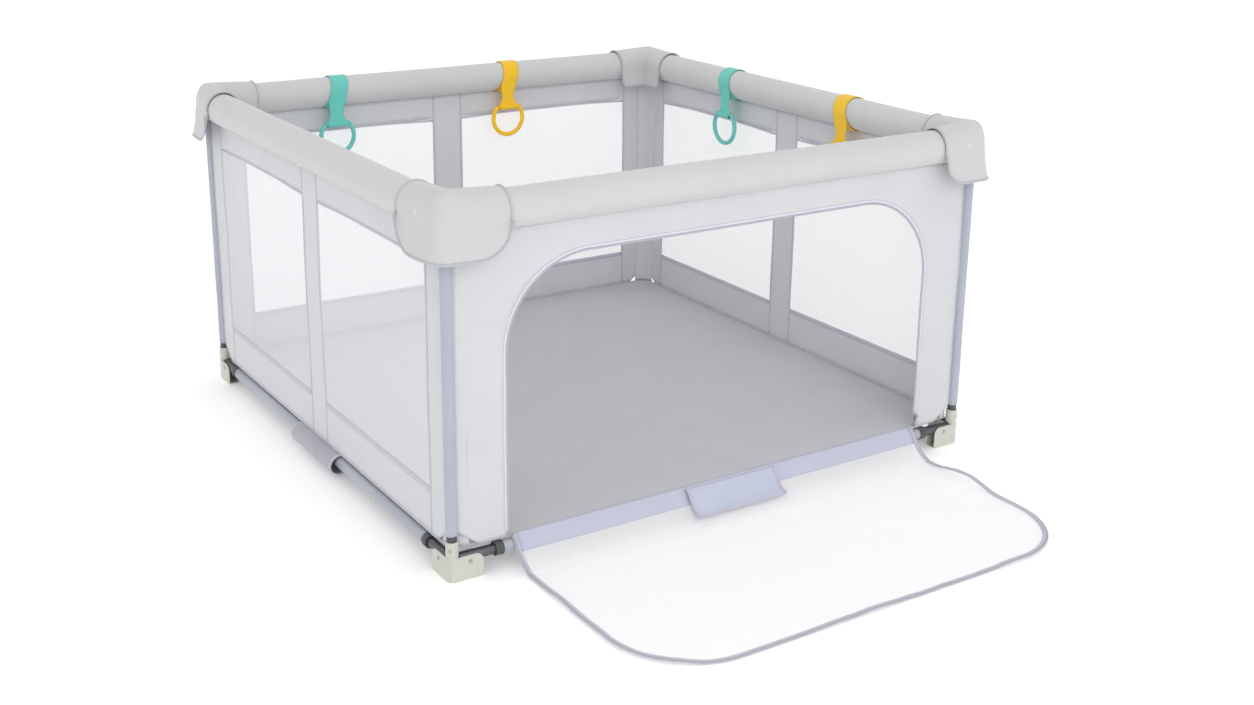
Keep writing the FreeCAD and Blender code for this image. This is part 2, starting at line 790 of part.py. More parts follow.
closed_sides = ("left", "right", "back")
nodes["foot_rivets"] = each_corner(rivets())
nodes["rail_spigots"] = each_corner(spigots())
nodes["rail_collars"] = each_corner(collars())
nodes["post_ferrules"] = each_corner([ferrule()])
nodes["post_sleeves"] = each_corner([post_sleeve()])
nodes["top_corner_connectors"] = each_corner([top_connector()])
nodes["rail_couplers"] = each_side([rail_coupler()])
nodes["rail_foam"] = each_side([rail_foam()])
nodes["rail_tabs"] = each_side([rail_tab()], closed_sides)
nodes["window_meshes"] = each_side(window_meshes(), closed_sides)
for side in closed_sides:
    nodes["side_panel_" + side] = spin(window_wall(side), CENTRE, Z, SIDES[side])
nodes["side_panel_front"] = door_wall()
nodes["floor_sheet"] = floor_sheet()
nodes["wall_zip_tape"] = wall_zip_tape()

nodes["door_band"] = hem_band()
nodes["door_lower_mesh"] = hem_mesh()
nodes["door_lower_tape"] = hem_tape()
nodes["front_rail_tab"] = front_tab()
nodes["door_mesh"] = flap_mesh()
nodes["door_tape"] = flap_tape()
nodes["zip_slider"] = zip_slider()
nodes["zip_pull"] = zip_pull()

for name, (side, along) in ring_places.items():
    nodes["ring_strap_" + name] = placed_ring(ring_strap(), side, along)
    nodes["hand_ring_" + name] = placed_ring(hand_ring(), side, along)

for node, shape in nodes.items():
    save(shape, node)
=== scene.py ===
"""Baby playpen: the looks of a square padded pen with its zip-off door lying open."""
import math

import bmesh
import bpy
from mathutils import Matrix, Vector, noise


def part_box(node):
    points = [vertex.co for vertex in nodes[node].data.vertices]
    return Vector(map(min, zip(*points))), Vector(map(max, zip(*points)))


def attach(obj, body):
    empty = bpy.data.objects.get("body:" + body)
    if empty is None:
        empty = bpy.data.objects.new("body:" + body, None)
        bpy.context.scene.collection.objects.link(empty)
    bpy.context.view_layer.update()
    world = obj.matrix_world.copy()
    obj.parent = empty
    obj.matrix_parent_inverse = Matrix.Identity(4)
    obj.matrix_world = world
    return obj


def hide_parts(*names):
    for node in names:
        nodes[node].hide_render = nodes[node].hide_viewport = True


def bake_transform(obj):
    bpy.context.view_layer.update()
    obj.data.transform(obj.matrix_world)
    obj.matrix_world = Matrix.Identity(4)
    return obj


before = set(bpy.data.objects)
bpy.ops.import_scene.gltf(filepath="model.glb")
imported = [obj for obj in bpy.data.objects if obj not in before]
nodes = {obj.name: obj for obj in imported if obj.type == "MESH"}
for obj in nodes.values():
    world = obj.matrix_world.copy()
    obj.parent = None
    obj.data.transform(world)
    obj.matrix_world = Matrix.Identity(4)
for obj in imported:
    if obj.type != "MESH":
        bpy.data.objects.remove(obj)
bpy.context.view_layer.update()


# ================================================================ moulded feet
# Four corner feet, an L of two channels round an upright socket. Injection-moulded
# polypropylene in warm light grey, pushed over the post and riveted to the rail stubs.
def linear(code):
    """Linear RGBA of an sRGB hex colour."""
    parts = [int(code[i:i + 2], 16) / 255 for i in (0, 2, 4)]
    return (*[c / 12.92 if c <= 0.04045 else ((c + 0.055) / 1.055) ** 2.4 for c in parts], 1)


def add(tree, kind, inputs=None, **settings):
    """Add a shader node. Each input is a value or the output socket that feeds it."""
    made = tree.nodes.new(kind)
    for key, value in settings.items():
        setattr(made, key, value)
    for key, value in (inputs or {}).items():
        if isinstance(value, bpy.types.NodeSocket):
            tree.links.new(value, made.inputs[key])
        else:
            made.inputs[key].default_value = value
    return made


def blank(name):
    """A new material with an empty node tree."""
    made = bpy.data.materials.new(name)
    made.use_nodes = True
    made.node_tree.nodes.clear()
    return made


def moulded(name, shade, deep, rough, grain, relief):
    """Injection-moulded plastic: faint mottling and a fine spark-eroded grain."""
    made = blank(name)
    tree = made.node_tree
    place = add(tree, "ShaderNodeTexCoord").outputs["Object"]
    cloud = add(tree, "ShaderNodeTexNoise", {"Vector": place, "Scale": 28, "Detail": 3})
    colour = add(tree, "ShaderNodeMix",
                 {0: cloud.outputs[0], 6: linear(deep), 7: linear(shade)}, data_type="RGBA")
    pits = add(tree, "ShaderNodeTexNoise", {"Vector": place, "Scale": 1 / grain, "Detail": 2})
    gloss = add(tree, "ShaderNodeMapRange",
                {0: pits.outputs[0], 3: rough - 0.05, 4: rough + 0.07})
    bump = add(tree, "ShaderNodeBump",
               {"Height": pits.outputs[0], "Strength": 0.35, "Distance": relief})
    shader = add(tree, "ShaderNodeBsdfPrincipled",
                 {"Base Color": colour.outputs[2], "Roughness": gloss.outputs[0],
                  "Normal": bump.outputs[0], "IOR": 1.49})
    add(tree, "ShaderNodeOutputMaterial", {0: shader.outputs[0]})
    return made


def dress(names, material, edge):
    """Give CAD nodes their finish and take the sharpness off their edges."""
    for name in names:
        shape = nodes[name]
        shape.data.materials.clear()
        shape.data.materials.append(material)
        join = shape.modifiers.new("join", "WELD")
        join.merge_threshold = 0.00001
        ease = shape.modifiers.new("ease", "BEVEL")
        ease.width = edge
        ease.segments = 2
        ease.limit_method = "ANGLE"
        ease.angle_limit = math.radians(40)
        ease.harden_normals = True


CORNERS = ("front_left", "front_right", "back_right", "back_left")
SIDES = ("front", "right", "back", "left")
foot_plastic = moulded("moulded polypropylene", "D3D2C8", "C2C1B7", 0.42, 0.0012, 0.0002)
dress(["foot_" + c for c in CORNERS], foot_plastic, 0.0008)


# ================================================================ rivets, buttons and stubs
# Flat-headed rivets, spring buttons and the stubs that join feet to rails. Zinc-plated steel,
# drawn tube and turned pins; plating leaves a cloudy, half-bright grey.
def plated(name, shade, deep, rough):
    """Electroplated steel: a metal with cloudy roughness."""
    made = blank(name)
    tree = made.node_tree
    place = add(tree, "ShaderNodeTexCoord").outputs["Object"]
    cloud = add(tree, "ShaderNodeTexNoise", {"Vector": place, "Scale": 90, "Detail": 4})
    colour = add(tree, "ShaderNodeMix",
                 {0: cloud.outputs[0], 6: linear(deep), 7: linear(shade)}, data_type="RGBA")
    gloss = add(tree, "ShaderNodeMapRange",
                {0: cloud.outputs[0], 3: rough - 0.1, 4: rough + 0.1})
    shader = add(tree, "ShaderNodeBsdfPrincipled",
                 {"Base Color": colour.outputs[2], "Roughness": gloss.outputs[0], "Metallic": 1})
    add(tree, "ShaderNodeOutputMaterial", {0: shader.outputs[0]})
    return made


bright_zinc = plated("zinc-plated steel", "B9BABC", "9C9DA1", 0.34)
dark_zinc = plated("black zinc-plated steel", "77787C", "5C5D61", 0.4)
dress(["foot_rivets"], bright_zinc, 0.0003)
dress(["post_button_" + c for c in CORNERS], bright_zinc, 0.0002)
dress(["rail_spigots"], dark_zinc, 0.0003)


# ================================================================ collars and ferrules
# Bushes that centre the stubs in the rails, and the ring that closes each socket.
# Injection-moulded nylon in dark grey, pushed on.
nylon = moulded("moulded nylon", "56575B", "48494D", 0.5, 0.001, 0.0002)
dress(["rail_collars", "post_ferrules"], nylon, 0.0005)


# ================================================================ rails, posts and connectors
# Bottom rails in two halves, posts, and the hidden top rails, couplers and corner connectors.
# Steel tube with a baked powder coat in cool light grey: satin, with a faint orange peel.
def powder_coated(name, shade, deep):
    """Baked powder coat: satin, with an orange-peel relief of about 2 mm."""
    made = blank(name)
    tree = made.node_tree
    place = add(tree, "ShaderNodeTexCoord").outputs["Object"]
    cloud = add(tree, "ShaderNodeTexNoise", {"Vector": place, "Scale": 12, "Detail": 2})
    colour = add(tree, "ShaderNodeMix",
                 {0: cloud.outputs[0], 6: linear(deep), 7: linear(shade)}, data_type="RGBA")
    peel = add(tree, "ShaderNodeTexNoise", {"Vector": place, "Scale": 500, "Detail": 1})
    bump = add(tree, "ShaderNodeBump",
               {"Height": peel.outputs[0], "Strength": 0.25, "Distance": 0.0002})
    shader = add(tree, "ShaderNodeBsdfPrincipled",
                 {"Base Color": colour.outputs[2], "Roughness": 0.36, "Normal": bump.outputs[0]})
    add(tree, "ShaderNodeOutputMaterial", {0: shader.outputs[0]})
    return made


coated_steel = powder_coated("powder-coated steel", "B4B6C0", "A9ABB6")
dress(["bottom_rail_" + s for s in SIDES], coated_steel, 0.0003)
dress(["top_rail_" + s for s in SIDES], coated_steel, 0.0003)
dress(["post_" + c for c in CORNERS], coated_steel, 0.0003)
dress(["rail_couplers"], coated_steel, 0.0003)
dress(["top_corner_connectors"], nylon, 0.0005)


# ================================================================ foam
# Split tubes of closed-cell foam round the top rails, cut to length and slid on.
# Extruded polyethylene foam, white, with a skin of fine open bubbles.
def foam_skin():
    """Closed-cell foam: matt, pitted by cells drawn 2 mm across so that they show."""
    made = blank("extruded polyethylene foam")
    tree = made.node_tree
    place = add(tree, "ShaderNodeTexCoord").outputs["Object"]
    cells = add(tree, "ShaderNodeTexVoronoi", {"Vector": place, "Scale": 500})
    bump = add(tree, "ShaderNodeBump",
               {"Height": cells.outputs[0], "Strength": 0.6, "Distance": 0.0004})
    colour = add(tree, "ShaderNodeMix",
                 {0: cells.outputs[0], 6: linear("F0F0EE"), 7: linear("DCDCDA")},
                 data_type="RGBA")
    shader = add(tree, "ShaderNodeBsdfPrincipled",
                 {"Base Color": colour.outputs[2], "Roughness": 0.9, "Normal": bump.outputs[0]})
    add(tree, "ShaderNodeOutputMaterial", {0: shader.outputs[0]})
    return made


dress(["rail_foam"], foam_skin(), 0.0005)


# ================================================================ post sleeves
# Narrow cloth tubes over the posts, closed by the two walls' side seams. Blue-grey oxford
# polyester, cut on the straight and sewn; they hang in long upright folds.
post_low, post_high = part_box("post_front_left")
far_low, far_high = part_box("post_back_right")
line = (far_low.x + far_high.x - post_low.x - post_high.x) / 4      # posts and rails
pen_centre = Vector((0, (post_low.y + far_high.y) / 2, 0))
turned = {side: Matrix.Translation(pen_centre) @ Matrix.Rotation(math.radians(90 * i), 4, "Z")
          for i, side in enumerate(SIDES)}


def draft():
    """An empty set of points, faces and UVs in metres."""
    return {"points": [], "faces": [], "uv": []}


def patch(made, grid, uv):
    """Add a grid of points as quads, with one UV for each point."""
    base = len(made["points"])
    rows = len(grid)
    wide = len(grid[0])
    for row, row_uv in zip(grid, uv):
        made["points"] += row
        made["uv"] += row_uv
    for i in range(rows - 1):
        for j in range(wide - 1):
            a = base + i * wide + j
            made["faces"].append((a, a + 1, a + wide + 1, a + wide))


def piece(name, made, material, where=None, body="root"):
    """A smooth mesh object from a draft. A piece with no body is left free."""
    mesh = bpy.data.meshes.new(name)
    mesh.from_pydata([tuple(p) for p in made["points"]], [], made["faces"])
    layer = mesh.uv_layers.new(name="UVMap")
    for loop in mesh.loops:
        layer.data[loop.index].uv = made["uv"][loop.vertex_index]
    work = bmesh.new()
    work.from_mesh(mesh)
    bmesh.ops.remove_doubles(work, verts=work.verts, dist=0.00003)
    bmesh.ops.recalc_face_normals(work, faces=work.faces)
    work.to_mesh(mesh)
    work.free()
    if where is not None:
        mesh.transform(where)
    mesh.shade_smooth()
    mesh.materials.append(material)
    obj = bpy.data.objects.new(name, mesh)
    bpy.context.scene.collection.objects.link(obj)
    if body:
        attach(obj, body)
    return obj


def thicken(obj, depth):
    """Give a sheet its thickness on both sides of its own surface."""
    solid = obj.modifiers.new("thickness", "SOLIDIFY")
    solid.thickness = depth
    solid.offset = 0
    return obj


def span(low, high, parts):
    """Evenly spaced values from low to high."""
    return [low + (high - low) * i / parts for i in range(parts + 1)]


def drift(x, z, size, seed):
    """Smooth unevenness from -1 to 1 over a surface, with humps of about that size."""
    return noise.noise(Vector((x / size, z / size, seed)))


def woven(name, shade, deep, spacing, relief=0.0003, rough=0.82):
    """Plain-weave polyester on UVs in metres. The threads lie `spacing` apart, several times
    coarser than the real half millimetre, so that the weave shows."""
    made = blank(name)
    tree = made.node_tree
    place = add(tree, "ShaderNodeTexCoord").outputs["UV"]
    waves = 0.314159 / spacing                     # wave scale of one band for each spacing
    warp = add(tree, "ShaderNodeTexWave",
               {"Vector": place, "Scale": waves, "Distortion": 0.6, "Detail": 1},
               bands_direction="X")
    weft = add(tree, "ShaderNodeTexWave",
               {"Vector": place, "Scale": waves, "Distortion": 0.6, "Detail": 1},
               bands_direction="Y")
    cross = add(tree, "ShaderNodeMath", {0: warp.outputs[1], 1: weft.outputs[1]},
                operation="MULTIPLY")
    cloud = add(tree, "ShaderNodeTexNoise", {"Vector": place, "Scale": 9, "Detail": 4})
    tone = add(tree, "ShaderNodeMath", {0: cross.outputs[0], 1: 0.45, 2: cloud.outputs[0]},
               operation="MULTIPLY_ADD")
    colour = add(tree, "ShaderNodeMix",
                 {0: tone.outputs[0], 6: linear(deep), 7: linear(shade)}, data_type="RGBA")
    bump = add(tree, "ShaderNodeBump",
               {"Height": cross.outputs[0], "Strength": 0.4, "Distance": relief})
    shader = add(tree, "ShaderNodeBsdfPrincipled",
                 {"Base Color": colour.outputs[2], "Roughness": rough, "Normal": bump.outputs[0],
                  "Sheen Weight": 0.25, "Sheen Roughness": 0.5})
    add(tree, "ShaderNodeOutputMaterial", {0: shader.outputs[0]})
    return made


sleeve_cloth = woven("blue-grey oxford polyester", "B6BBC7", "A5AAB7", 0.0022)
sleeve_low, sleeve_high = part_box("post_sleeves")
SLEEVE_RADIUS = 0.0102
SLEEVE_CLOTH = 0.0008
SLEEVE_TUCK = 0.020                                 # its top ends inside the corner cover
for number, corner in enumerate(CORNERS):
    low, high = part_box("post_" + corner)
    axis = (low + high) / 2
    around = span(0, 2 * math.pi, 30)
    grid = []
    grid_uv = []
    for z in span(sleeve_low.z, sleeve_high.z - SLEEVE_TUCK, 60):
        row = []
        for angle in around:
            fold = noise.noise(Vector((1.6 * math.cos(angle), 1.6 * math.sin(angle),
                                       z * 2.5 + 7 * number)))
            crease = noise.noise(Vector((3 * math.cos(angle), 3 * math.sin(angle),
                                         z * 14 + 3 * number)))
            r = SLEEVE_RADIUS + 0.0016 * fold + 0.0005 * crease
            row.append((axis.x + r * math.cos(angle), axis.y + r * math.sin(angle), z))
        grid.append(row)
        grid_uv.append([(SLEEVE_RADIUS * angle, z) for angle in around])
    made = draft()
    patch(made, grid, grid_uv)
    sleeve = thicken(piece("sleeve_" + corner, made, sleeve_cloth), SLEEVE_CLOTH)
    if number == 0:
        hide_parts("post_sleeves")


# ================================================================ padded rail covers
# Tubes of coated cloth sewn tight round the foam of each top rail. Knitted polyester with a
# soft matt face in warm off-white, cut in one strip and closed by the seam that holds the wall.
cover_low, cover_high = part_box("rail_cover_front")
pad_axis = (cover_low.z + cover_high.z) / 2
pad_radius = (cover_high.z - cover_low.z) / 2
pad_end = (cover_high.x - cover_low.x) / 2


def padding_cloth(name, shade, deep):
    """Brushed knit over foam: fine stipple, very soft shading."""
    made = blank(name)
    tree = made.node_tree
    place = add(tree, "ShaderNodeTexCoord").outputs["UV"]
    knit = add(tree, "ShaderNodeTexVoronoi", {"Vector": place, "Scale": 420})
    cloud = add(tree, "ShaderNodeTexNoise", {"Vector": place, "Scale": 7, "Detail": 4})
    tone = add(tree, "ShaderNodeMath", {0: knit.outputs[0], 1: 0.35, 2: cloud.outputs[0]},
               operation="MULTIPLY_ADD")
    colour = add(tree, "ShaderNodeMix",
                 {0: tone.outputs[0], 6: linear(deep), 7: linear(shade)}, data_type="RGBA")
    bump = add(tree, "ShaderNodeBump",
               {"Height": knit.outputs[0], "Strength": 0.3, "Distance": 0.0003})
    shader = add(tree, "ShaderNodeBsdfPrincipled",
                 {"Base Color": colour.outputs[2], "Roughness": 0.7, "Normal": bump.outputs[0],
                  "Sheen Weight": 0.2, "Sheen Roughness": 0.5})
    add(tree, "ShaderNodeOutputMaterial", {0: shader.outputs[0]})
    return made


def puff(obj, most):
    """Swell a closed cloth form by pressure for 20 frames, and keep the result."""
    before = [v.co.copy() for v in obj.data.vertices]
    pins = obj.vertex_groups.new(name="pins")
    bottom = pad_axis - 0.9 * pad_radius
    held = [v.index for v in obj.data.vertices if v.co.z < bottom or abs(v.co.x) > pad_end - 0.004]
    pins.add(held, 1.0, "REPLACE")
    cloth = obj.modifiers.new("cloth", "CLOTH")
    cloth.settings.use_pressure = True
    cloth.settings.uniform_pressure_force = 4
    cloth.settings.effector_weights.gravity = 0
    cloth.settings.vertex_group_mass = "pins"
    cloth.settings.quality = 4
    cloth.settings.tension_stiffness = 12
    cloth.settings.compression_stiffness = 12
    cloth.settings.bending_stiffness = 0.4
    for step in range(1, 21):
        bpy.context.scene.frame_set(step)
    graph = bpy.context.evaluated_depsgraph_get()
    swollen = [v.co.copy() for v in obj.evaluated_get(graph).data.vertices]
    obj.modifiers.remove(cloth)
    obj.vertex_groups.clear()
    for vertex, old, new in zip(obj.data.vertices, before, swollen):
        move = new - old
        if move.length > most:
            move = move * (most / move.length)
        vertex.co = old + move
    bpy.context.scene.frame_set(1)


cover_cloth = padding_cloth("brushed knitted polyester", "CFCFCF", "C6C6C6")
for number, side in enumerate(SIDES):
    grid = []
    grid_uv = []
    around = span(-math.pi / 2, 3 * math.pi / 2, 44)
    for x in span(-pad_end, pad_end, 180):
        row = []
        for angle in around:
            lump = drift(x, angle * pad_radius, 0.11, 5 * number + math.cos(angle))
            dent = drift(x, angle * pad_radius, 0.03, 9 * number + math.cos(angle))
            r = pad_radius - 0.0002 + 0.0006 * lump + 0.0002 * dent
            row.append((x, -line + r * math.cos(angle), pad_axis + r * math.sin(angle)))
        grid.append(row)
        grid_uv.append([(x, angle * pad_radius) for angle in around])
    made = draft()
    patch(made, grid, grid_uv)
    for end in (0, -1):
        hub = (grid[end][0][0], -line, pad_axis)
        patch(made, [grid[end], [hub] * len(around)], [grid_uv[end], grid_uv[end]])
    cover = piece("rail_pad_" + side, made, cover_cloth, body=None)
    puff(cover, 0.003)
    cover.data.transform(turned[side])
    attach(cover, "root")
    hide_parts("rail_cover_" + side)
    round_off = cover.modifiers.new("smooth", "SUBSURF")
    round_off.levels = 1
    round_off.render_levels = 1


# ================================================================ walls
# One panel of pale grey oxford polyester on each side, sewn to the rail cover above and the
# floor below. Three have a pair of net windows; the front one has the arched doorway.
FABRIC = 0.0014                                     # thickness of the oxford cloth
BINDING = 0.0052                                    # width of the folded edge binding
floor_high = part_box("floor_sheet")[1]
wall_low, wall_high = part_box("side_panel_back")
wall_half = (wall_high.x - wall_low.x) / 2
wall_foot = wall_low.z
wall_head = wall_high.z + 0.002                     # tucked into the rail cover's seam
pane_low, pane_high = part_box("window_meshes")
pane_far = line - 0.080                             # outer edge of each window
pane_near = 0.040                                   # half of the strip between them
notch_side = 0.044                                  # corner cut away over each foot
notch_rise = 0.033

wall_cloth = woven("pale grey oxford polyester", "D6D7DA", "CBCCD0", 0.0026)
binding_cloth = woven("lilac-grey grosgrain binding", "C9C8D4", "B9B8C6", 0.0013, 0.0004)


def half_width(z):
    """Half the width of a wall at a height, narrower over the feet."""
    rise = min(1, max(0, (z - wall_foot) / notch_rise))
    return wall_half - notch_side * (1 - rise)


def sway(x, z, seed):
    """How far a hanging wall stands out of its plane at a point."""
    slack = math.sin(math.pi * min(1, max(0, (z - wall_foot) / (wall_head - wall_foot))))
    broad = 0.0030 * drift(x, z, 0.24, seed)
    drawn = 0.0009 * drift(x * 2.5, z * 0.6, 0.05, seed + 3)
    return (broad + drawn) * (0.25 + 0.75 * slack)


def wall_point(x, z, seed, out=0.0):
    return (x, -line + sway(x, z, seed) - out, z)


def strip(made, path, across, out, width, thick):
    """Sweep a flat band with rounded edges along a path; UVs run along it in metres."""
    shape = ((-0.5, 0.0), (-0.44, 0.4), (-0.2, 0.5), (0.2, 0.5), (0.44, 0.4), (0.5, 0.0),
             (0.44, -0.4), (0.2, -0.5), (-0.2, -0.5), (-0.44, -0.4), (-0.5, 0.0))
    grid = []
    grid_uv = []
    travel = 0
    for i, (point, side, face) in enumerate(zip(path, across, out)):
        here = Vector(point)
        if i:
            travel += (here - Vector(path[i - 1])).length
        grid.append([here + Vector(side) * (a * width) + Vector(face) * (b * thick)
                     for a, b in shape])
        grid_uv.append([(travel, a * width) for a, b in shape])
    patch(made, grid, grid_uv)
    for end in (0, -1):
        ring = grid[end][:-1]
        middle = sum(ring, Vector()) / len(ring)
        fan = [ring + ring[:1], [middle] * (len(ring) + 1)]
        patch(made, fan, [grid_uv[end], grid_uv[end]])


def upright_band(made, x, low, high, seed, width, thick):
    """A band up a wall, on both of its faces."""
    heights = span(low, high, 40)
    strip(made, [wall_point(x, z, seed) for z in heights], [(1, 0, 0)] * 41,
          [(0, -1, 0)] * 41, width, thick)


def level_band(made, low, high, z, seed, width, thick, sag=0.0):
    """A band along a wall, on both of its faces."""
    places = span(low, high, 40)
    heights = [z - sag * math.cos(math.pi * (x - low) / (high - low)) ** 6 for x in places]
    strip(made, [wall_point(x, h, seed) for x, h in zip(places, heights)], [(0, 0, 1)] * 41,
          [(0, -1, 0)] * 41, width, thick)


def window_wall(side, seed):
    """A panel with two window openings, and its bindings."""
    columns = (span(-wall_half, -pane_far, 5) + span(-pane_far, -pane_near, 34)[1:]
               + span(-pane_near, pane_near, 6)[1:] + span(pane_near, pane_far, 34)[1:]
               + span(pane_far, wall_half, 5)[1:])
    levels = (span(wall_foot, pane_low.z, 8) + span(pane_low.z, pane_high.z, 30)[1:]
              + span(pane_high.z, wall_head, 5)[1:])
    made = draft()
    for z in levels:
        reach = half_width(z)
        for x in columns:
            over = max(0, abs(x) - pane_far) / (wall_half - pane_far)
            sign = math.copysign(1, x)
            place = sign * (pane_far + over * (reach - pane_far)) if over else x
            made["points"].append(wall_point(place, z, seed))
            made["uv"].append((x, z))
    wide = len(columns)
    for i in range(len(levels) - 1):
        for j in range(wide - 1):
            x = abs(columns[j] + columns[j + 1]) / 2
            z = (levels[i] + levels[i + 1]) / 2
            if pane_near < x < pane_far and pane_low.z < z < pane_high.z:
                continue
            a = i * wide + j
            made["faces"].append((a, a + 1, a + wide + 1, a + wide))
    wall = thicken(piece("wall_" + side, made, wall_cloth, turned[side]), FABRIC)
    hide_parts("side_panel_" + side)

    bands = draft()
    for x in (-pane_far - BINDING / 2, -pane_near + BINDING / 2, pane_near - BINDING / 2,
              pane_far + BINDING / 2):
        upright_band(bands, x, wall_foot + 0.003, wall_head - 0.003, seed, BINDING, 0.0034)
    for low, high in ((-pane_far, -pane_near), (pane_near, pane_far)):
        level_band(bands, low, high, pane_low.z, seed, 2.1 * BINDING, 0.0036)
        level_band(bands, low, high, pane_high.z, seed, BINDING, 0.0032, sag=0.004)
    level_band(bands, -half_width(wall_foot), half_width(wall_foot), wall_foot + 0.002, seed,
               BINDING, 0.0040)
    trim = piece("binding_" + side, bands, binding_cloth, turned[side])


for number, side in enumerate(SIDES[1:]):
    window_wall(side, 20.0 + 5 * number)


# ================================================================ corner gussets
# Narrow strips of the wall cloth that join two walls inside each corner and hide the post.
# Sewn to both walls, from the floor to the rail pads; a dark crease runs up the middle.
GUSSET_CLOTH = 0.0010
for number, (corner, side) in enumerate(zip(CORNERS, SIDES)):
    made = draft()
    bend = ((0.034, 0.0006), (0.026, 0.0026), (0.018, 0.0062), (0.0125, 0.0095),
            (0.0105, 0.0105), (0.0095, 0.0125), (0.0062, 0.018), (0.0026, 0.026),
            (0.0006, 0.034))
    grid = []
    grid_uv = []
    for z in span(wall_foot + 0.002, wall_head, 60):
        row = []
        for x, y in bend:
            slack = 0.0006 * drift(x * 3, z, 0.05, 30.0 + number)
            row.append((-line + x + slack, -line + y + slack, z))
        grid.append(row)
        grid_uv.append([(0.005 * j, z) for j in range(len(bend))])
    patch(made, grid, grid_uv)
    gusset = thicken(piece("gusset_" + corner, made, wall_cloth, turned[side]), GUSSET_CLOTH)


# ================================================================ window nets
# Two upright panes in each of the three closed sides. Warp-knitted polyester net, white and
# see-through, its edges caught in the folded bindings.
def netting(name, shade, spacing, thin, thick, cover):
    """White knitted net on UVs in metres: threads round small holes, drawn about twice their
    real spacing so that they show. `thin` and `thick` are how much of the light each stops."""
    made = blank(name)
    tree = made.node_tree
    place = add(tree, "ShaderNodeTexCoord").outputs["UV"]
    turn = add(tree, "ShaderNodeMapping", {"Vector": place, "Rotation": (0, 0, math.pi / 4)})
    waves = 0.314159 / spacing
    left = add(tree, "ShaderNodeTexWave", {"Vector": turn.outputs[0], "Scale": waves},
               bands_direction="X")
    right = add(tree, "ShaderNodeTexWave", {"Vector": turn.outputs[0], "Scale": waves},
                bands_direction="Y")
    cross = add(tree, "ShaderNodeMath", {0: left.outputs[1], 1: right.outputs[1]},
                operation="MAXIMUM")
    veil = add(tree, "ShaderNodeMapRange",
               {0: cross.outputs[0], 1: cover, 2: 1.0, 3: thin, 4: thick},
               interpolation_type="SMOOTHSTEP")
    bump = add(tree, "ShaderNodeBump",
               {"Height": cross.outputs[0], "Strength": 0.3, "Distance": 0.0003})
    shader = add(tree, "ShaderNodeBsdfPrincipled",
                 {"Base Color": linear(shade), "Roughness": 0.75, "Normal": bump.outputs[0],
                  "Alpha": veil.outputs[0], "Sheen Weight": 0.2})
    add(tree, "ShaderNodeOutputMaterial", {0: shader.outputs[0]})
    return made


window_net = netting("warp-knitted polyester net", "F8F9FC", 0.0026, 0.36, 0.66, 0.45)
for number, side in enumerate(SIDES[1:]):
    seed = 20.0 + 5 * number
    for name, low, high in (("a", -pane_far, -pane_near), ("b", pane_near, pane_far)):
        made = draft()
        across = span(low, high, 36)
        grid = []
        for z in span(pane_low.z, pane_high.z, 32):
            rise = (z - pane_low.z) / (pane_high.z - pane_low.z)
            row = []
            for x in across:
                run = (x - low) / (high - low)
                belly = math.sin(math.pi * rise) * math.sin(math.pi * run)
                billow = 0.003 * drift(x, z, 0.16, seed + 8) * belly
                row.append(wall_point(x, z, seed, out=billow))
            grid.append(row)
        patch(made, grid, [[(p[0], p[2]) for p in row] for row in grid])
        pane = piece(f"net_{side}_{name}", made, window_net, turned[side])
        if number == 0 and name == "a":
            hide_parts("window_meshes")


# ================================================================ front wall
# Panel of the same oxford cloth with the doorway cut out as a flat-topped arch. Its edge is
# covered by the zip tape all the way round.
tape_low, tape_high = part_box("wall_zip_tape")
door_half = (tape_high.x - tape_low.x) / 2          # outer edge of the wall's zip tape
door_top = tape_high.z
door_round = 0.176
seam_height = floor_high.z                          # line that the door hangs from
FRONT_SEED = 60.0


def arch(half, top, radius, low, steps=26):
    """Points up the right jamb, round the arch and down the left, each with its outward
    direction: (x, z, nx, nz)."""
    right = [(half, z, 1, 0) for z in span(low, top - radius, steps)]
    bend = [(half - radius + radius * math.cos(a), top - radius + radius * math.sin(a),
             math.cos(a), math.sin(a)) for a in span(0, math.pi / 2, 24)]
    crown = [(x, top, 0, 1) for x in span(half - radius, 0, steps)]
    climb = right + bend[1:] + crown[1:]
    return climb + [(-x, z, -nx, nz) for x, z, nx, nz in reversed(climb[:-1])]


def outer_edge(x, z, nx, nz):
    """The wall's outer edge straight out from a point of the arch."""
    if nx == 1 or nx == -1:
        return (nx * half_width(z), z)
    if nx == 0:
        return (x, wall_head)
    hub_x = x - nx * door_round
    hub_z = z - nz * door_round
    reach = min((wall_half - math.copysign(hub_x, 1)) / abs(nx), (wall_head - hub_z) / nz)
    return (hub_x + nx * reach, hub_z + nz * reach)


made = draft()
grid = []
for x, z, nx, nz in arch(door_half - 0.004, door_top - 0.004, door_round - 0.004, wall_foot, 40):
    far_x, far_z = outer_edge(x, z, nx, nz)
    row = []
    for share in span(0, 1, 10):
        at_x = x + (far_x - x) * share
        at_z = z + (far_z - z) * share
        row.append(wall_point(at_x, at_z, FRONT_SEED))
    grid.append(row)
patch(made, grid, [[(p[0], p[2]) for p in row] for row in grid])
front_wall = thicken(piece("wall_front", made, wall_cloth, turned["front"]), FABRIC)
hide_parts("side_panel_front")


# ================================================================ doorway zip
# The fixed half of the door's zip: a folded tape sewn round the arch and a row of moulded
# teeth along its inner edge. Light lilac polyester tape, acetal teeth.
ZIP_TAPE = 0.011
TEETH = 0.0036                                      # spacing of the teeth, drawn large


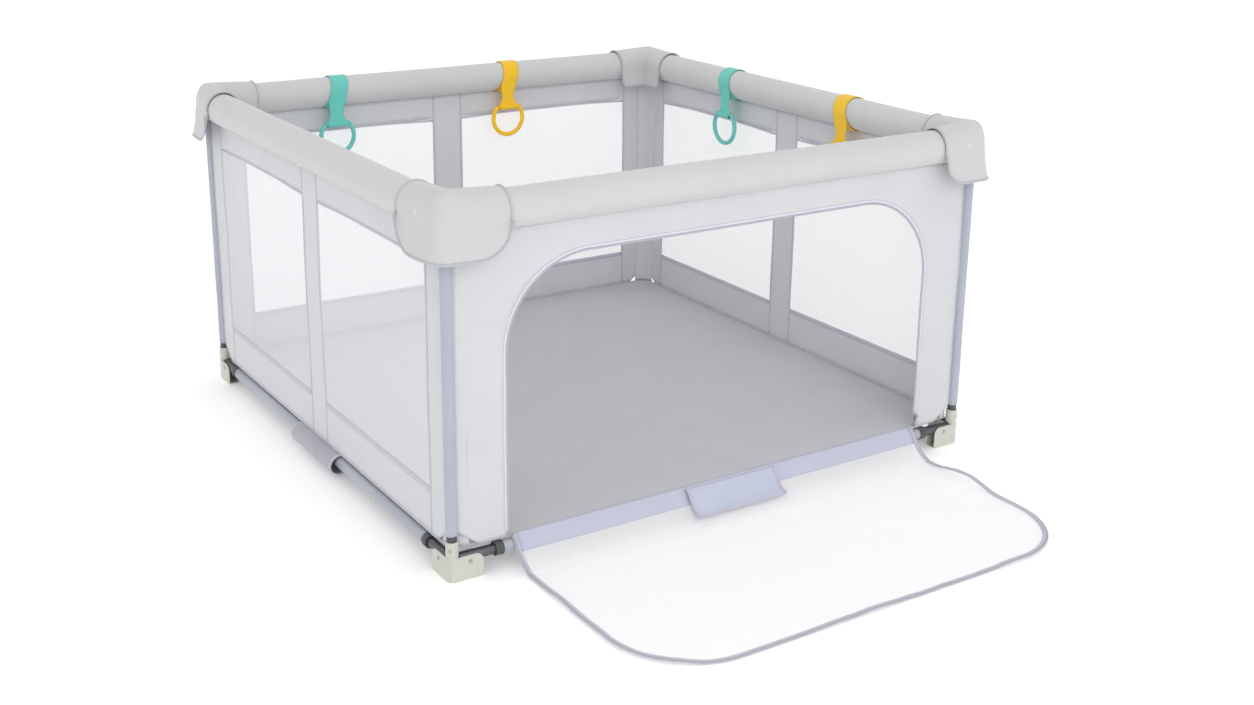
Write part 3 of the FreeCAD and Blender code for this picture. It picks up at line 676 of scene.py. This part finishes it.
def stitched_tape(name, shade, deep, seams):
    """Ribbed tape with sewn seams at these distances from its middle line. The stitches are
    4 mm long, with a small gap; UVs run along the tape in metres."""
    made = blank(name)
    tree = made.node_tree
    place = add(tree, "ShaderNodeTexCoord").outputs["UV"]
    axes = add(tree, "ShaderNodeSeparateXYZ", {0: place})
    ribs = add(tree, "ShaderNodeTexWave", {"Vector": place, "Scale": 0.314159 / 0.0014},
               bands_direction="Y")
    gaps = add(tree, "ShaderNodeTexWave", {"Vector": place, "Scale": 0.314159 / 0.004},
               bands_direction="X")
    dash = add(tree, "ShaderNodeMapRange", {0: gaps.outputs[1], 1: 0.15, 2: 0.35})
    total = None
    for seam in seams:
        away = add(tree, "ShaderNodeMath", {0: axes.outputs[1], 1: seam}, operation="SUBTRACT")
        near = add(tree, "ShaderNodeMath", {0: away.outputs[0]}, operation="ABSOLUTE")
        mark = add(tree, "ShaderNodeMapRange",
                   {0: near.outputs[0], 1: 0.0003, 2: 0.0006, 3: 1, 4: 0})
        total = mark if total is None else add(
            tree, "ShaderNodeMath", {0: total.outputs[0], 1: mark.outputs[0]},
            operation="MAXIMUM")
    stitch = add(tree, "ShaderNodeMath", {0: total.outputs[0], 1: dash.outputs[0]},
                 operation="MULTIPLY")
    base = add(tree, "ShaderNodeMix",
               {0: ribs.outputs[1], 6: linear(deep), 7: linear(shade)}, data_type="RGBA")
    colour = add(tree, "ShaderNodeMix",
                 {0: stitch.outputs[0], 6: base.outputs[2], 7: linear("A4A4B0")},
                 data_type="RGBA")
    bump = add(tree, "ShaderNodeBump",
               {"Height": stitch.outputs[0], "Strength": 0.6, "Distance": -0.0004})
    shader = add(tree, "ShaderNodeBsdfPrincipled",
                 {"Base Color": colour.outputs[2], "Roughness": 0.7, "Normal": bump.outputs[0],
                  "Sheen Weight": 0.2})
    add(tree, "ShaderNodeOutputMaterial", {0: shader.outputs[0]})
    return made


def teeth_row(made, path, across, out, size):
    """Small moulded teeth at even spacing along a path."""
    gap = TEETH
    for i in range(len(path) - 1):
        a = Vector(path[i])
        b = Vector(path[i + 1])
        run = (b - a).length
        while gap <= run:
            share = gap / run
            here = a.lerp(b, share)
            along = (b - a).normalized() * size[0] / 2
            side = Vector(across[i]).lerp(Vector(across[i + 1]), share).normalized() * size[1] / 2
            face = Vector(out[i]).lerp(Vector(out[i + 1]), share).normalized() * size[2] / 2
            base = len(made["points"])
            for sa, sb, sc in ((-1, -1, -1), (1, -1, -1), (1, 1, -1), (-1, 1, -1),
                               (-1, -1, 1), (1, -1, 1), (1, 1, 1), (-1, 1, 1)):
                made["points"].append(here + along * sa + side * sb + face * sc)
                made["uv"].append((sa * size[0], sb * size[1]))
            for quad in ((0, 3, 2, 1), (4, 5, 6, 7), (0, 1, 5, 4), (1, 2, 6, 5), (2, 3, 7, 6),
                         (3, 0, 4, 7)):
                made["faces"].append(tuple(base + k for k in quad))
            gap += TEETH
        gap -= run


tape_cloth = stitched_tape("ribbed polyester zip tape", "E0E1EA", "D6D7E2", (-0.0022, 0.0022))
acetal = moulded("moulded acetal", "C6C7D0", "B9BAC4", 0.4, 0.0008, 0.0001)

door_line = arch(door_half, door_top, door_round, seam_height + 0.004, 40)


def around_door(inset):
    """The arch moved in by an inset, on the swaying front wall, for a swept band."""
    path = []
    for x, z, nx, nz in door_line:
        at_x = x - nx * inset
        at_z = z - nz * inset
        path.append(wall_point(at_x, at_z, FRONT_SEED))
    across = [(nx, 0, nz) for x, z, nx, nz in door_line]
    return path, across, [(0, -1, 0)] * len(path)


made = draft()
path, across, out = around_door(0.0035)
strip(made, path, across, out, 0.0070, 0.0030)
wall_tape = piece("doorway_tape", made, tape_cloth, turned["front"])
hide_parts("wall_zip_tape")
made = draft()
path, across, out = around_door(ZIP_TAPE - 0.0022)
strip(made, path, across, out, 0.0026, 0.0012)
teeth_row(made, path, across, out, (0.0019, 0.0036, 0.0022))
wall_teeth = piece("doorway_teeth", made, acetal, turned["front"])


# ================================================================ floor cloth
# One square of grey coated oxford polyester, stretched level between the bottom rails with its
# corners cut round the posts. Sewn to the walls along all four sides.
floor_cloth = woven("grey coated oxford polyester", "C0C0C6", "B7B7BD", 0.003, rough=0.72)
floor_edge = line - 0.0012
corner_cut = 0.016
FLOOR_CLOTH = 0.0016
made = draft()
grid = []
grid_uv = []
for y in span(-floor_edge, floor_edge, 90):
    row = []
    row_uv = []
    for x in span(-floor_edge, floor_edge, 90):
        sag_x = math.cos(math.pi * x / (2 * floor_edge))
        sag_y = math.cos(math.pi * y / (2 * floor_edge))
        dip = 0.004 * sag_x * sag_y
        crease = 0.0012 * drift(x, y, 0.2, 90.0) + 0.0005 * drift(x, y, 0.07, 95.0)
        edge = min(1, (floor_edge - max(abs(x), abs(y))) / 0.06)
        pinch = min(1, math.hypot(floor_edge - abs(x), floor_edge - abs(y)) / corner_cut)
        shrink = (1 - pinch) * 0.6 * corner_cut
        row.append((x - math.copysign(shrink, x), y - math.copysign(shrink, y),
                    seam_height - 0.0008 - dip * edge + crease * edge))
        row_uv.append((x, y))
    grid.append(row)
    grid_uv.append(row_uv)
patch(made, grid, grid_uv)
floor_piece = thicken(piece("floor_cloth", made, floor_cloth, turned["front"]), FLOOR_CLOTH)
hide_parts("floor_sheet")


# ================================================================ rail tabs
# A wide loop of the floor's cloth closed round the middle of each rail, on the three closed
# sides. Cut double, piped at both ends, fastened to itself under the rail.
tab_low, tab_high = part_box("front_rail_tab")
tab_half = (tab_high.x - tab_low.x) / 2
rail_low, rail_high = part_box("bottom_rail_front")
rail_axis = (rail_low.z + rail_high.z) / 2
tab_cloth = woven("grey double oxford polyester", "B3B2BC", "A5A5AE", 0.0024)
TAB_RADIUS = 0.0205
TAB_CLOTH = 0.0022
TAB_FIRST = math.radians(70)                        # where the loop starts inside the rail
TAB_LAST = math.radians(335)
TAB_ARC = TAB_LAST - TAB_FIRST
TAB_PIPING = (0.006, 0.0042)
TAB_OUT = 0.004                                     # the loop hangs a little outside its rail
TAB_DROP = rail_axis - 0.005


def tab_ring(x, seed):
    """Outline of the loop at a place along the rail, from inside round the outside."""
    ring = []
    for angle in span(TAB_FIRST, TAB_LAST, 34):
        r = TAB_RADIUS + 0.0014 * drift(x * 1.3, angle * TAB_RADIUS, 0.03, seed)
        ring.append((x, -line - TAB_OUT + r * math.cos(angle), TAB_DROP + r * math.sin(angle)))
    return ring


for number, side in enumerate(SIDES[1:]):
    seed = 110.0 + 4 * number
    made = draft()
    places = span(-tab_half, tab_half, 40)
    grid = [tab_ring(x, seed) for x in places]
    arc = span(0, TAB_ARC * TAB_RADIUS, 34)
    patch(made, grid, [[(x, s) for s in arc] for x in places])
    tab = thicken(piece("tab_" + side, made, tab_cloth, turned[side]), TAB_CLOTH)
    made = draft()
    for x in (-tab_half + 0.002, tab_half - 0.002):
        ring = tab_ring(x, seed)
        hub = Vector((x, -line - TAB_OUT, TAB_DROP))
        strip(made, ring, [(1, 0, 0)] * len(ring), [(Vector(p) - hub).normalized() for p in ring],
              *TAB_PIPING)
    piping = piece("tab_piping_" + side, made, binding_cloth, turned[side])
    if number == 0:
        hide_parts("rail_tabs")


# ================================================================ open door
# The doorway's flap, unzipped and laid on the ground: a band of cloth at the seam, then net,
# with the door's half of the zip in a folded binding all round. It hangs over the rail first.
flap_low, flap_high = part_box("door_tape")
seam = Vector((0, pen_centre.y - line, seam_height))
fold = Vector((0, flap_high.y, (flap_low.z + flap_high.z) / 2))
hem_run = seam.y - fold.y
hem_fall = seam.z - fold.z
hem_length = math.hypot(hem_run, hem_fall)
flap_length = flap_high.y - flap_low.y
door_edge = (flap_high.x - flap_low.x) / 2
door_edge_round = door_round - ZIP_TAPE - 0.001
band_width = 0.036
NET_LIFT = 0.0012                                   # net above the ground where it lies flat


def lie(x, s):
    """Height of the flap's cloth over the ground; s is the distance out from the fold."""
    rim = max(abs(x) / door_edge, s / flap_length)
    ruck = 0.0050 * max(0, drift(x, s, 0.20, 140.0)) + 0.0022 * max(0, drift(x, s, 0.07, 145.0))
    edge = 0.0060 * max(0, drift(x * 1.2, s * 1.2, 0.11, 150.0)) * max(0, rim - 0.6) / 0.4
    twist = 0.013 * math.exp(-((x - door_edge) / 0.11) ** 2 - ((s - 0.10) / 0.06) ** 2)
    start = max(0, 1 - s / 0.05)
    settled = 1 - start
    return NET_LIFT + (ruck + edge + twist) * settled + (fold.z - NET_LIFT) * start


def drape(x, s):
    """Point of the open door at a distance s down it from the seam, in the row frame."""
    if s >= hem_length:
        out = s - hem_length
        return (x, fold.y - out, lie(x, out))
    share = s / hem_length
    loose = max(0, (share - 0.2) / 0.8)
    sag = (0.0070 + 0.0022 * drift(x, 0, 0.2, 160.0)) * math.sin(math.pi * loose)
    y = seam.y - hem_run * share + sag * hem_fall / hem_length
    z = seam.z - hem_fall * share - sag * hem_run / hem_length
    return (x, y, z)


def door_cloth(name, s_low, s_high, inset, material, rows, columns=90):
    """A panel of the open door between two distances down it, inside its rounded edge."""
    made = draft()
    grid = []
    grid_uv = []
    spring = hem_length + flap_length - door_edge_round
    for s in span(s_low, s_high, rows):
        over = min(s - spring, door_edge_round - inset)
        radius = door_edge_round - inset
        half = door_edge - inset
        if over > 0:
            half = door_edge - door_edge_round + math.sqrt(max(0, radius ** 2 - over ** 2))
        across = span(-half, half, columns)
        grid.append([drape(x, s) for x in across])
        grid_uv.append([(x, s) for x in across])
    patch(made, grid, grid_uv)
    return piece(name, made, material, body=None)


def over_seam(obj):
    """Bake the placing into the mesh of cloth that turns from the floor's edge on to the sloping part
    of the door.
    """
    end = Vector(drape(0, 0.012))
    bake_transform(obj)


def over_fold(obj):
    """Bake the placing into the mesh of cloth that turns from the sloping part on to the flap."""
    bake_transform(obj)


band_cloth = woven("lavender oxford polyester", "C7CADB", "BABED1", 0.0026)
door_net = netting("white polyester net", "FBFBFD", 0.0026, 0.46, 0.72, 0.42)
band = door_cloth("door_band_cloth", 0, band_width, ZIP_TAPE, band_cloth, 12)
thicken(band, FABRIC)
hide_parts("door_band")
over_seam(band)

hem_net = door_cloth("door_net_hem", band_width - 0.002, hem_length, ZIP_TAPE - 0.002,
                     door_net, 14)
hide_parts("door_lower_mesh")
over_seam(hem_net)

flap_net = door_cloth("door_net", hem_length, hem_length + flap_length - ZIP_TAPE + 0.002,
                      ZIP_TAPE - 0.002, door_net, 80)
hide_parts("door_mesh")
over_fold(flap_net)


def edge_path(inset, s_low, s_high):
    """Points along one or both sides of the door, and round its end, at an inset."""
    half = door_edge - inset
    if s_high <= hem_length:
        levels = span(s_low, s_high, 16)
        return [[(side * half, s, side, 0) for s in levels] for side in (1, -1)]
    bow = arch(half, hem_length + flap_length - inset, door_edge_round - inset, s_low, 40)
    return [bow]


def edge_band(name, s_low, s_high, turn, inset, width, thick, material, node=None, teeth=False):
    """A band along the door's edge, following the draped cloth."""
    made = draft()
    for route in edge_path(inset, s_low, s_high):
        path = [Vector(drape(x, s)) + Vector((0, 0, 0.0008)) for x, s, nx, ns in route]
        across = []
        for (x, s, nx, ns), here in zip(route, path):
            beside = Vector(drape(x - 0.004 * nx, s - 0.004 * ns)) + Vector((0, 0, 0.0008))
            across.append((here - beside).normalized())
        out = []
        for i, side in enumerate(across):
            along = (path[min(i + 1, len(path) - 1)] - path[max(i - 1, 0)]).normalized()
            normal = side.cross(along).normalized()
            out.append(normal if normal.z >= 0 else -normal)
        strip(made, path, across, out, width, thick)
        if teeth:
            teeth_row(made, path, across, out, (0.0019, 0.0030, 0.0022))
    band_piece = piece(name, made, material, body=None)
    if node:
        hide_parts(node)
    turn(band_piece)


door_end = hem_length + flap_length
door_binding = stitched_tape("folded polyester door binding", "C6C7D1", "B6B7C3",
                             (-0.0028, 0.0028))
edge_band("door_binding_hem", 0.0005, hem_length, over_seam, 0.0074, 0.0072, 0.0026,
          door_binding, "door_lower_tape")
edge_band("door_binding", hem_length, door_end, over_fold, 0.0074, 0.0072, 0.0026,
          door_binding, "door_tape")
edge_band("door_teeth_hem", 0.004, hem_length, over_seam, 0.0022, 0.0026, 0.0012, acetal,
          teeth=True)
edge_band("door_teeth", hem_length, door_end, over_fold, 0.0022, 0.0026, 0.0012, acetal,
          teeth=True)


# ================================================================ front rail tab
# The front side's rail tab, undone and lying over the door's band: a double piece of lavender
# oxford with piped ends that curl up a little.
front_tab_cloth = woven("lavender double oxford polyester", "C9CDE0", "BBBFD6", 0.0024)
tab_length = 0.060
tab_start = 0.007


def tab_lift(x, s):
    """The tab's height over the band's cloth."""
    share = abs(x) / tab_half
    tip = (s - tab_start) / tab_length
    curl = 0.0050 * max(0, (share - 0.86) / 0.14) ** 2 + 0.0030 * max(0, tip - 0.7) / 0.3
    return 0.0030 + curl + 0.0010 * max(0, drift(x, s, 0.05, 170.0))


def tab_point(x, s):
    x0, y0, z0 = drape(x, s)
    lift = tab_lift(x, s)
    return Vector((x0, y0 - lift * hem_fall / hem_length, z0 + lift * hem_run / hem_length))


made = draft()
across = span(-tab_half, tab_half, 50)
down = span(tab_start, tab_start + tab_length, 18)
patch(made, [[tab_point(x, s) for x in across] for s in down],
      [[(x, s) for x in across] for s in down])
front_tab = thicken(piece("front_tab", made, front_tab_cloth, body="door_hem"), 0.0024)
made = draft()
for x in (-tab_half, tab_half):
    path = [tab_point(x, s) for s in down]
    strip(made, path, [(1, 0, 0)] * len(path),
          [(0, -hem_fall / hem_length, hem_run / hem_length)] * len(path), 0.006, 0.0042)
tip = [tab_point(x, tab_start + tab_length) for x in across]
strip(made, tip, [(0, -hem_run / hem_length, -hem_fall / hem_length)] * len(tip),
      [(0, -hem_fall / hem_length, hem_run / hem_length)] * len(tip), 0.004, 0.0034)
tab_piping = piece("front_tab_piping", made, binding_cloth, body="door_hem")
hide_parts("front_rail_tab")


# ================================================================ zip slider and pull
# Slider parked at the bottom of the right jamb, with a tongue hanging from its pin. Die-cast
# zinc with a baked grey finish.
cast_zinc = plated("die-cast zinc", "C2C3C8", "A8A9B0", 0.38)
dress(["zip_slider", "zip_pull"], cast_zinc, 0.0002)


# ================================================================ corner covers
# Shaped caps over the four corners, hiding the ends of the rail pads. Two layers of the brushed
# knit over thin foam, with a mitred inside corner, deep rounded skirts and a piped edge.
cap_low, cap_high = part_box("corner_cover_front_left")
cap_radius = cap_high.z - pad_axis
cap_arm = cap_high.x + line                         # arm length from the post's axis
cap_foot = cap_low.z
CAP_INSIDE = 0.611
CAP_ROUND = 0.060
CAP_DRAW = 0.012                                    # cover drawn in at its outer corner
CAP_CLOTH = 0.0022
CAP_PIPING = (0.0040, 0.0042)
cap_cloth = padding_cloth("quilted brushed knit", "CDCECE", "C2C3C4")
piping_cloth = woven("grey piping cloth", "C4C5CB", "B0B1B9", 0.0008)


def cap_edge(along, inside):
    """Height of the cover's lower edge at a distance along its arm."""
    start = cap_arm - CAP_ROUND
    over = min(CAP_ROUND, max(0, along - start))
    low = cap_foot + CAP_ROUND - math.sqrt(CAP_ROUND ** 2 - over ** 2)
    return max(low, CAP_INSIDE) if inside else low


def cap_profile(along, inside):
    """Half of the cover's cross-section from the ridge down: (sideways, height) pairs."""
    low = cap_edge(along, inside)
    near = max(0, 1 - along / cap_arm)
    rise = 0.0015 + 0.0060 * near
    draw = 0.0 if inside else CAP_DRAW * near ** 2
    points = []
    for angle in span(0, math.pi / 2, 9):
        points.append(((cap_radius - draw) * math.sin(angle),
                       pad_axis + (cap_radius + rise) * math.cos(angle)))
    for share in span(0, 1, 10)[1:]:
        z = pad_axis + (low - pad_axis) * share
        flare = (0.0 if inside else 0.0045) * share ** 2 + 0.6 * draw * share
        nip = -0.0022 * math.sin(math.pi * share) * (along / cap_arm) ** 2
        points.append((cap_radius - draw + flare + nip, z))
    return points


def softened(point, seed):
    """A point moved a little by the unevenness of stuffed cloth."""
    p = Vector(point)
    away = Vector((p.x + line, p.y + line, (p.z - pad_axis) * 0.4))
    push = 0.0016 * noise.noise(p * 16 + Vector((seed, 0, 0)))
    return p + away.normalized() * push if away.length > 0.01 else p


def cap_grid(arm, inside, seed):
    """One face of one arm, from its end to the corner: outer half or inner half."""
    sections = []
    for share in span(1, 0, 16):
        row = []
        for order, (side, z) in enumerate(cap_profile(cap_arm * share, inside)):
            if inside:
                along = side + (cap_arm - side) * share
                x, y = -line + along, -line + side
            else:
                x, y = -line + cap_arm * share, -line - side
            row.append(softened((x, y, z) if arm == "x" else (y, x, z), seed))
        sections.append(row)
    return sections


def cap_corner(seed):
    """The rounded outer corner: the arms' outer profile turned about the post's axis."""
    rows = []
    for angle in span(-math.pi / 2, -math.pi, 14):
        rows.append([softened((-line + side * math.cos(angle), -line + side * math.sin(angle), z),
                              seed) for side, z in cap_profile(0, False)])
    return rows


def grid_lengths(grid):
    """UVs in metres for a grid, at fixed steps of about 6 mm along its rows and columns."""
    return [[(0.0062 * i, 0.006 * j) for j in range(len(grid[0]))] for i in range(len(grid))]


for number, (corner, side) in enumerate(zip(CORNERS, SIDES)):
    seed = 200.0 + 9 * number
    made = draft()
    edges = []
    for arm in "xy":
        outer = cap_grid(arm, False, seed)
        inner = cap_grid(arm, True, seed)
        patch(made, outer, grid_lengths(outer))
        patch(made, inner, grid_lengths(inner))
        edges.append((outer, inner))
    turn = cap_corner(seed)
    patch(made, turn, grid_lengths(turn))
    cap = thicken(piece("corner_cap_" + corner, made, cap_cloth, turned[side]), CAP_CLOTH)
    cap.modifiers["thickness"].offset = -1
    soften = cap.modifiers.new("smooth", "SUBSURF")
    soften.levels = 1
    soften.render_levels = 1
    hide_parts("corner_cover_" + corner)

    # The piping runs up each arm's end, over the top and down inside, and along both hems.
    made = draft()
    (outer_x, inner_x), (outer_y, inner_y) = edges
    rim = [row[-1] for row in outer_x] + [row[-1] for row in turn[1:]]
    rim += [row[-1] for row in reversed(outer_y)][1:]
    rim += list(reversed(outer_y[0]))[1:] + inner_y[0][1:]
    rim += [row[-1] for row in inner_y[1:]] + [row[-1] for row in reversed(inner_x)][1:]
    rim += list(reversed(inner_x[0]))[1:] + outer_x[0][1:]
    ring = []
    for point in rim:
        if not ring or (Vector(point) - ring[-1]).length > 0.0015:
            ring.append(Vector(point))
    centre = Vector((-line + 0.03, -line + 0.03, pad_axis))
    sweep = []
    for i, here in enumerate(ring):
        along = (ring[(i + 1) % len(ring)] - ring[i - 1]).normalized()
        first = along.cross(here - centre).normalized()
        second = first.cross(along).normalized()
        sweep.append((first, second))
    strip(made, ring, [s[0] for s in sweep], [s[1] for s in sweep], *CAP_PIPING)
    piping = piece("corner_piping_" + corner, made, piping_cloth, turned[side])


# ================================================================ hand ring straps
# Four webbing loops round the back and right rails, each tail sewn round its ring's flat bar.
# Woven polyester webbing, teal or yellow, cut narrow at the neck.
def webbing(name, shade, deep):
    """Heavy woven webbing: ribs across its width, drawn 1.6 mm apart."""
    made = blank(name)
    tree = made.node_tree
    place = add(tree, "ShaderNodeTexCoord").outputs["UV"]
    ribs = add(tree, "ShaderNodeTexWave",
               {"Vector": place, "Scale": 0.314159 / 0.0016, "Distortion": 0.8},
               bands_direction="X")
    picks = add(tree, "ShaderNodeTexWave",
                {"Vector": place, "Scale": 0.314159 / 0.0024, "Distortion": 0.8},
                bands_direction="Y")
    cross = add(tree, "ShaderNodeMath", {0: ribs.outputs[1], 1: picks.outputs[1]},
                operation="MULTIPLY")
    colour = add(tree, "ShaderNodeMix",
                 {0: cross.outputs[0], 6: linear(deep), 7: linear(shade)}, data_type="RGBA")
    bump = add(tree, "ShaderNodeBump",
               {"Height": cross.outputs[0], "Strength": 0.5, "Distance": 0.0004})
    shader = add(tree, "ShaderNodeBsdfPrincipled",
                 {"Base Color": colour.outputs[2], "Roughness": 0.65, "Normal": bump.outputs[0],
                  "Sheen Weight": 0.2})
    add(tree, "ShaderNodeOutputMaterial", {0: shader.outputs[0]})
    return made


teal_webbing = webbing("teal polyester webbing", "7ADBCF", "60C8BB")
yellow_webbing = webbing("yellow polyester webbing", "FFD21A", "F6C204")
RINGS = {"back_left": ("back", teal_webbing, "teal"), "back_right": ("back", yellow_webbing, "yellow"),
         "right_back": ("right", teal_webbing, "teal"),
         "right_front": ("right", yellow_webbing, "yellow")}
STRAP = 0.0016
NECK = 0.031
STRAP_TOP = 0.041
STRAP_LIFT = 0.0022                                 # middle of the webbing over the rail cover
NECK_TOP = 0.018                                    # rail axis down to where the neck begins
NECK_LOW = 0.046                                    # and to where it is narrowest
STRAP_FOOT = 0.048
RING_ROD = 0.0052
STRAP_SKEW = 0.018                                  # the loop leans a little on its rail
for number, (place, (side, cloth, colour)) in enumerate(RINGS.items()):
    low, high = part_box("ring_strap_" + place)
    middle = turned[side].inverted() @ ((low + high) / 2)
    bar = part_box("hand_ring_" + place)[1].z - RING_ROD
    neck_height = pad_axis - 0.030
    lean_way = -1 if side == "back" else 1
    loop_radius = pad_radius + STRAP_LIFT
    rows = []
    for angle in span(math.radians(-20), math.radians(-375), 60):
        rows.append((loop_radius * math.cos(angle), pad_axis + loop_radius * math.sin(angle)))
    for z in span(pad_axis - 0.016, bar + 0.004, 16):
        rows.append((loop_radius, z))
    hold = RING_ROD + 0.0014
    for angle in span(math.radians(20), math.radians(-250), 18):
        rows.append((loop_radius + 0.0006 + hold * math.cos(angle),
                     bar + hold * math.sin(angle)))
    made = draft()
    grid = []
    grid_uv = []
    travel = 0
    last = None
    across = span(-0.5, 0.5, 10)
    for order, (y, z) in enumerate(rows):
        if last:
            travel += math.hypot(y - last[0], z - last[1])
        last = (y, z)
        below = pad_axis - z
        if order < 60 or below < NECK_TOP:
            width = STRAP_TOP
        elif below < NECK_LOW:
            share = (below - NECK_TOP) / (NECK_LOW - NECK_TOP)
            width = STRAP_TOP + (NECK - STRAP_TOP) * share * share * (3 - 2 * share)
        else:
            share = min(1, (below - NECK_LOW) / (pad_axis - bar - NECK_LOW))
            width = NECK + (STRAP_FOOT - NECK) * share * share * (3 - 2 * share)
        lean = lean_way * STRAP_SKEW * max(0, (z - neck_height) / (2 * pad_radius))
        grid.append([(middle.x + lean + width * k, -line + y, z) for k in across])
        grid_uv.append([(travel, width * k) for k in across])
    patch(made, grid, grid_uv)
    strap = piece("strap_" + place, made, cloth, turned[side], body="ring_strap_" + place)
    thicken(strap, STRAP)
    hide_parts("ring_strap_" + place)


# ================================================================ hand rings
# Flat-topped rings that a child pulls up on. Injection-moulded polyethylene in the colour of
# their straps: smooth, with a soft broad gloss.
teal_plastic = moulded("moulded teal polyethylene", "72CFC3", "66C6B9", 0.34, 0.0015, 0.0001)
yellow_plastic = moulded("moulded yellow polyethylene", "FFCC12", "F8C200", 0.34, 0.0015, 0.0001)
dress(["hand_ring_back_left", "hand_ring_right_back"], teal_plastic, 0.0004)
dress(["hand_ring_back_right", "hand_ring_right_front"], yellow_plastic, 0.0004)


# ================================================================ studio
# A plain pale floor, a white surround and one large soft light in front.
def backdrop():
    """Matt white studio floor."""
    made = blank("matt white studio floor")
    tree = made.node_tree
    place = add(tree, "ShaderNodeTexCoord").outputs["Object"]
    cloud = add(tree, "ShaderNodeTexNoise", {"Vector": place, "Scale": 0.6})
    colour = add(tree, "ShaderNodeMix",
                 {0: cloud.outputs[0], 6: linear("F6F6F6"), 7: linear("FAFAFA")},
                 data_type="RGBA")
    shader = add(tree, "ShaderNodeBsdfPrincipled",
                 {"Base Color": colour.outputs[2], "Roughness": 0.9,
                  "Emission Color": linear("FFFFFF"), "Emission Strength": 0.20})
    add(tree, "ShaderNodeOutputMaterial", {0: shader.outputs[0]})
    return made


made = draft()
patch(made, [[(x, y, -0.0005) for x in span(-40, 40, 8)] for y in span(-40, 40, 8)],
      [[(x, y) for x in span(-40, 40, 8)] for y in span(-40, 40, 8)])
ground = piece("studio_floor", made, backdrop(), body=None)

world = bpy.data.worlds.new("white surround")
bpy.context.scene.world = world
world.use_nodes = True
world.node_tree.nodes["Background"].inputs[0].default_value = linear("FFFFFF")
world.node_tree.nodes["Background"].inputs[1].default_value = 0.92


def soft_light(name, place, aim, size, power):
    """A square soft box aimed at a point; the camera does not see it."""
    lamp = bpy.data.lights.new(name, "AREA")
    lamp.size = size
    lamp.energy = power
    obj = bpy.data.objects.new(name, lamp)
    obj.location = place
    way = Vector(aim) - Vector(place)
    obj.rotation_euler = way.to_track_quat("-Z", "Y").to_euler()
    obj.visible_camera = False
    bpy.context.scene.collection.objects.link(obj)


soft_light("key", (-0.7, -3.6, 2.1), (0, 0.1, 0.3), 2.4, 22)

eye = bpy.data.cameras.new("camera")
eye.lens = 44.11
eye.sensor_width = 36
eye.shift_x = -0.0013
eye.shift_y = -0.066
camera = bpy.data.objects.new("camera", eye)
bpy.context.scene.collection.objects.link(camera)
yaw = math.radians(33.072)
pitch = math.radians(16.476)
roll = math.radians(0.63)
forward = Vector((math.sin(yaw) * math.cos(pitch), math.cos(yaw) * math.cos(pitch),
                  -math.sin(pitch)))
level = Vector((math.cos(yaw), -math.sin(yaw), 0))
upward = level.cross(forward)
right = level * math.cos(roll) + upward * math.sin(roll)
up = upward * math.cos(roll) - level * math.sin(roll)
camera.matrix_world = Matrix.Translation((-1.6736, -2.5849, 1.2935)) @ Matrix(
    ((right.x, up.x, -forward.x), (right.y, up.y, -forward.y),
     (right.z, up.z, -forward.z))).to_4x4()
bpy.context.scene.camera = camera
bpy.context.scene.view_settings.view_transform = "Standard"
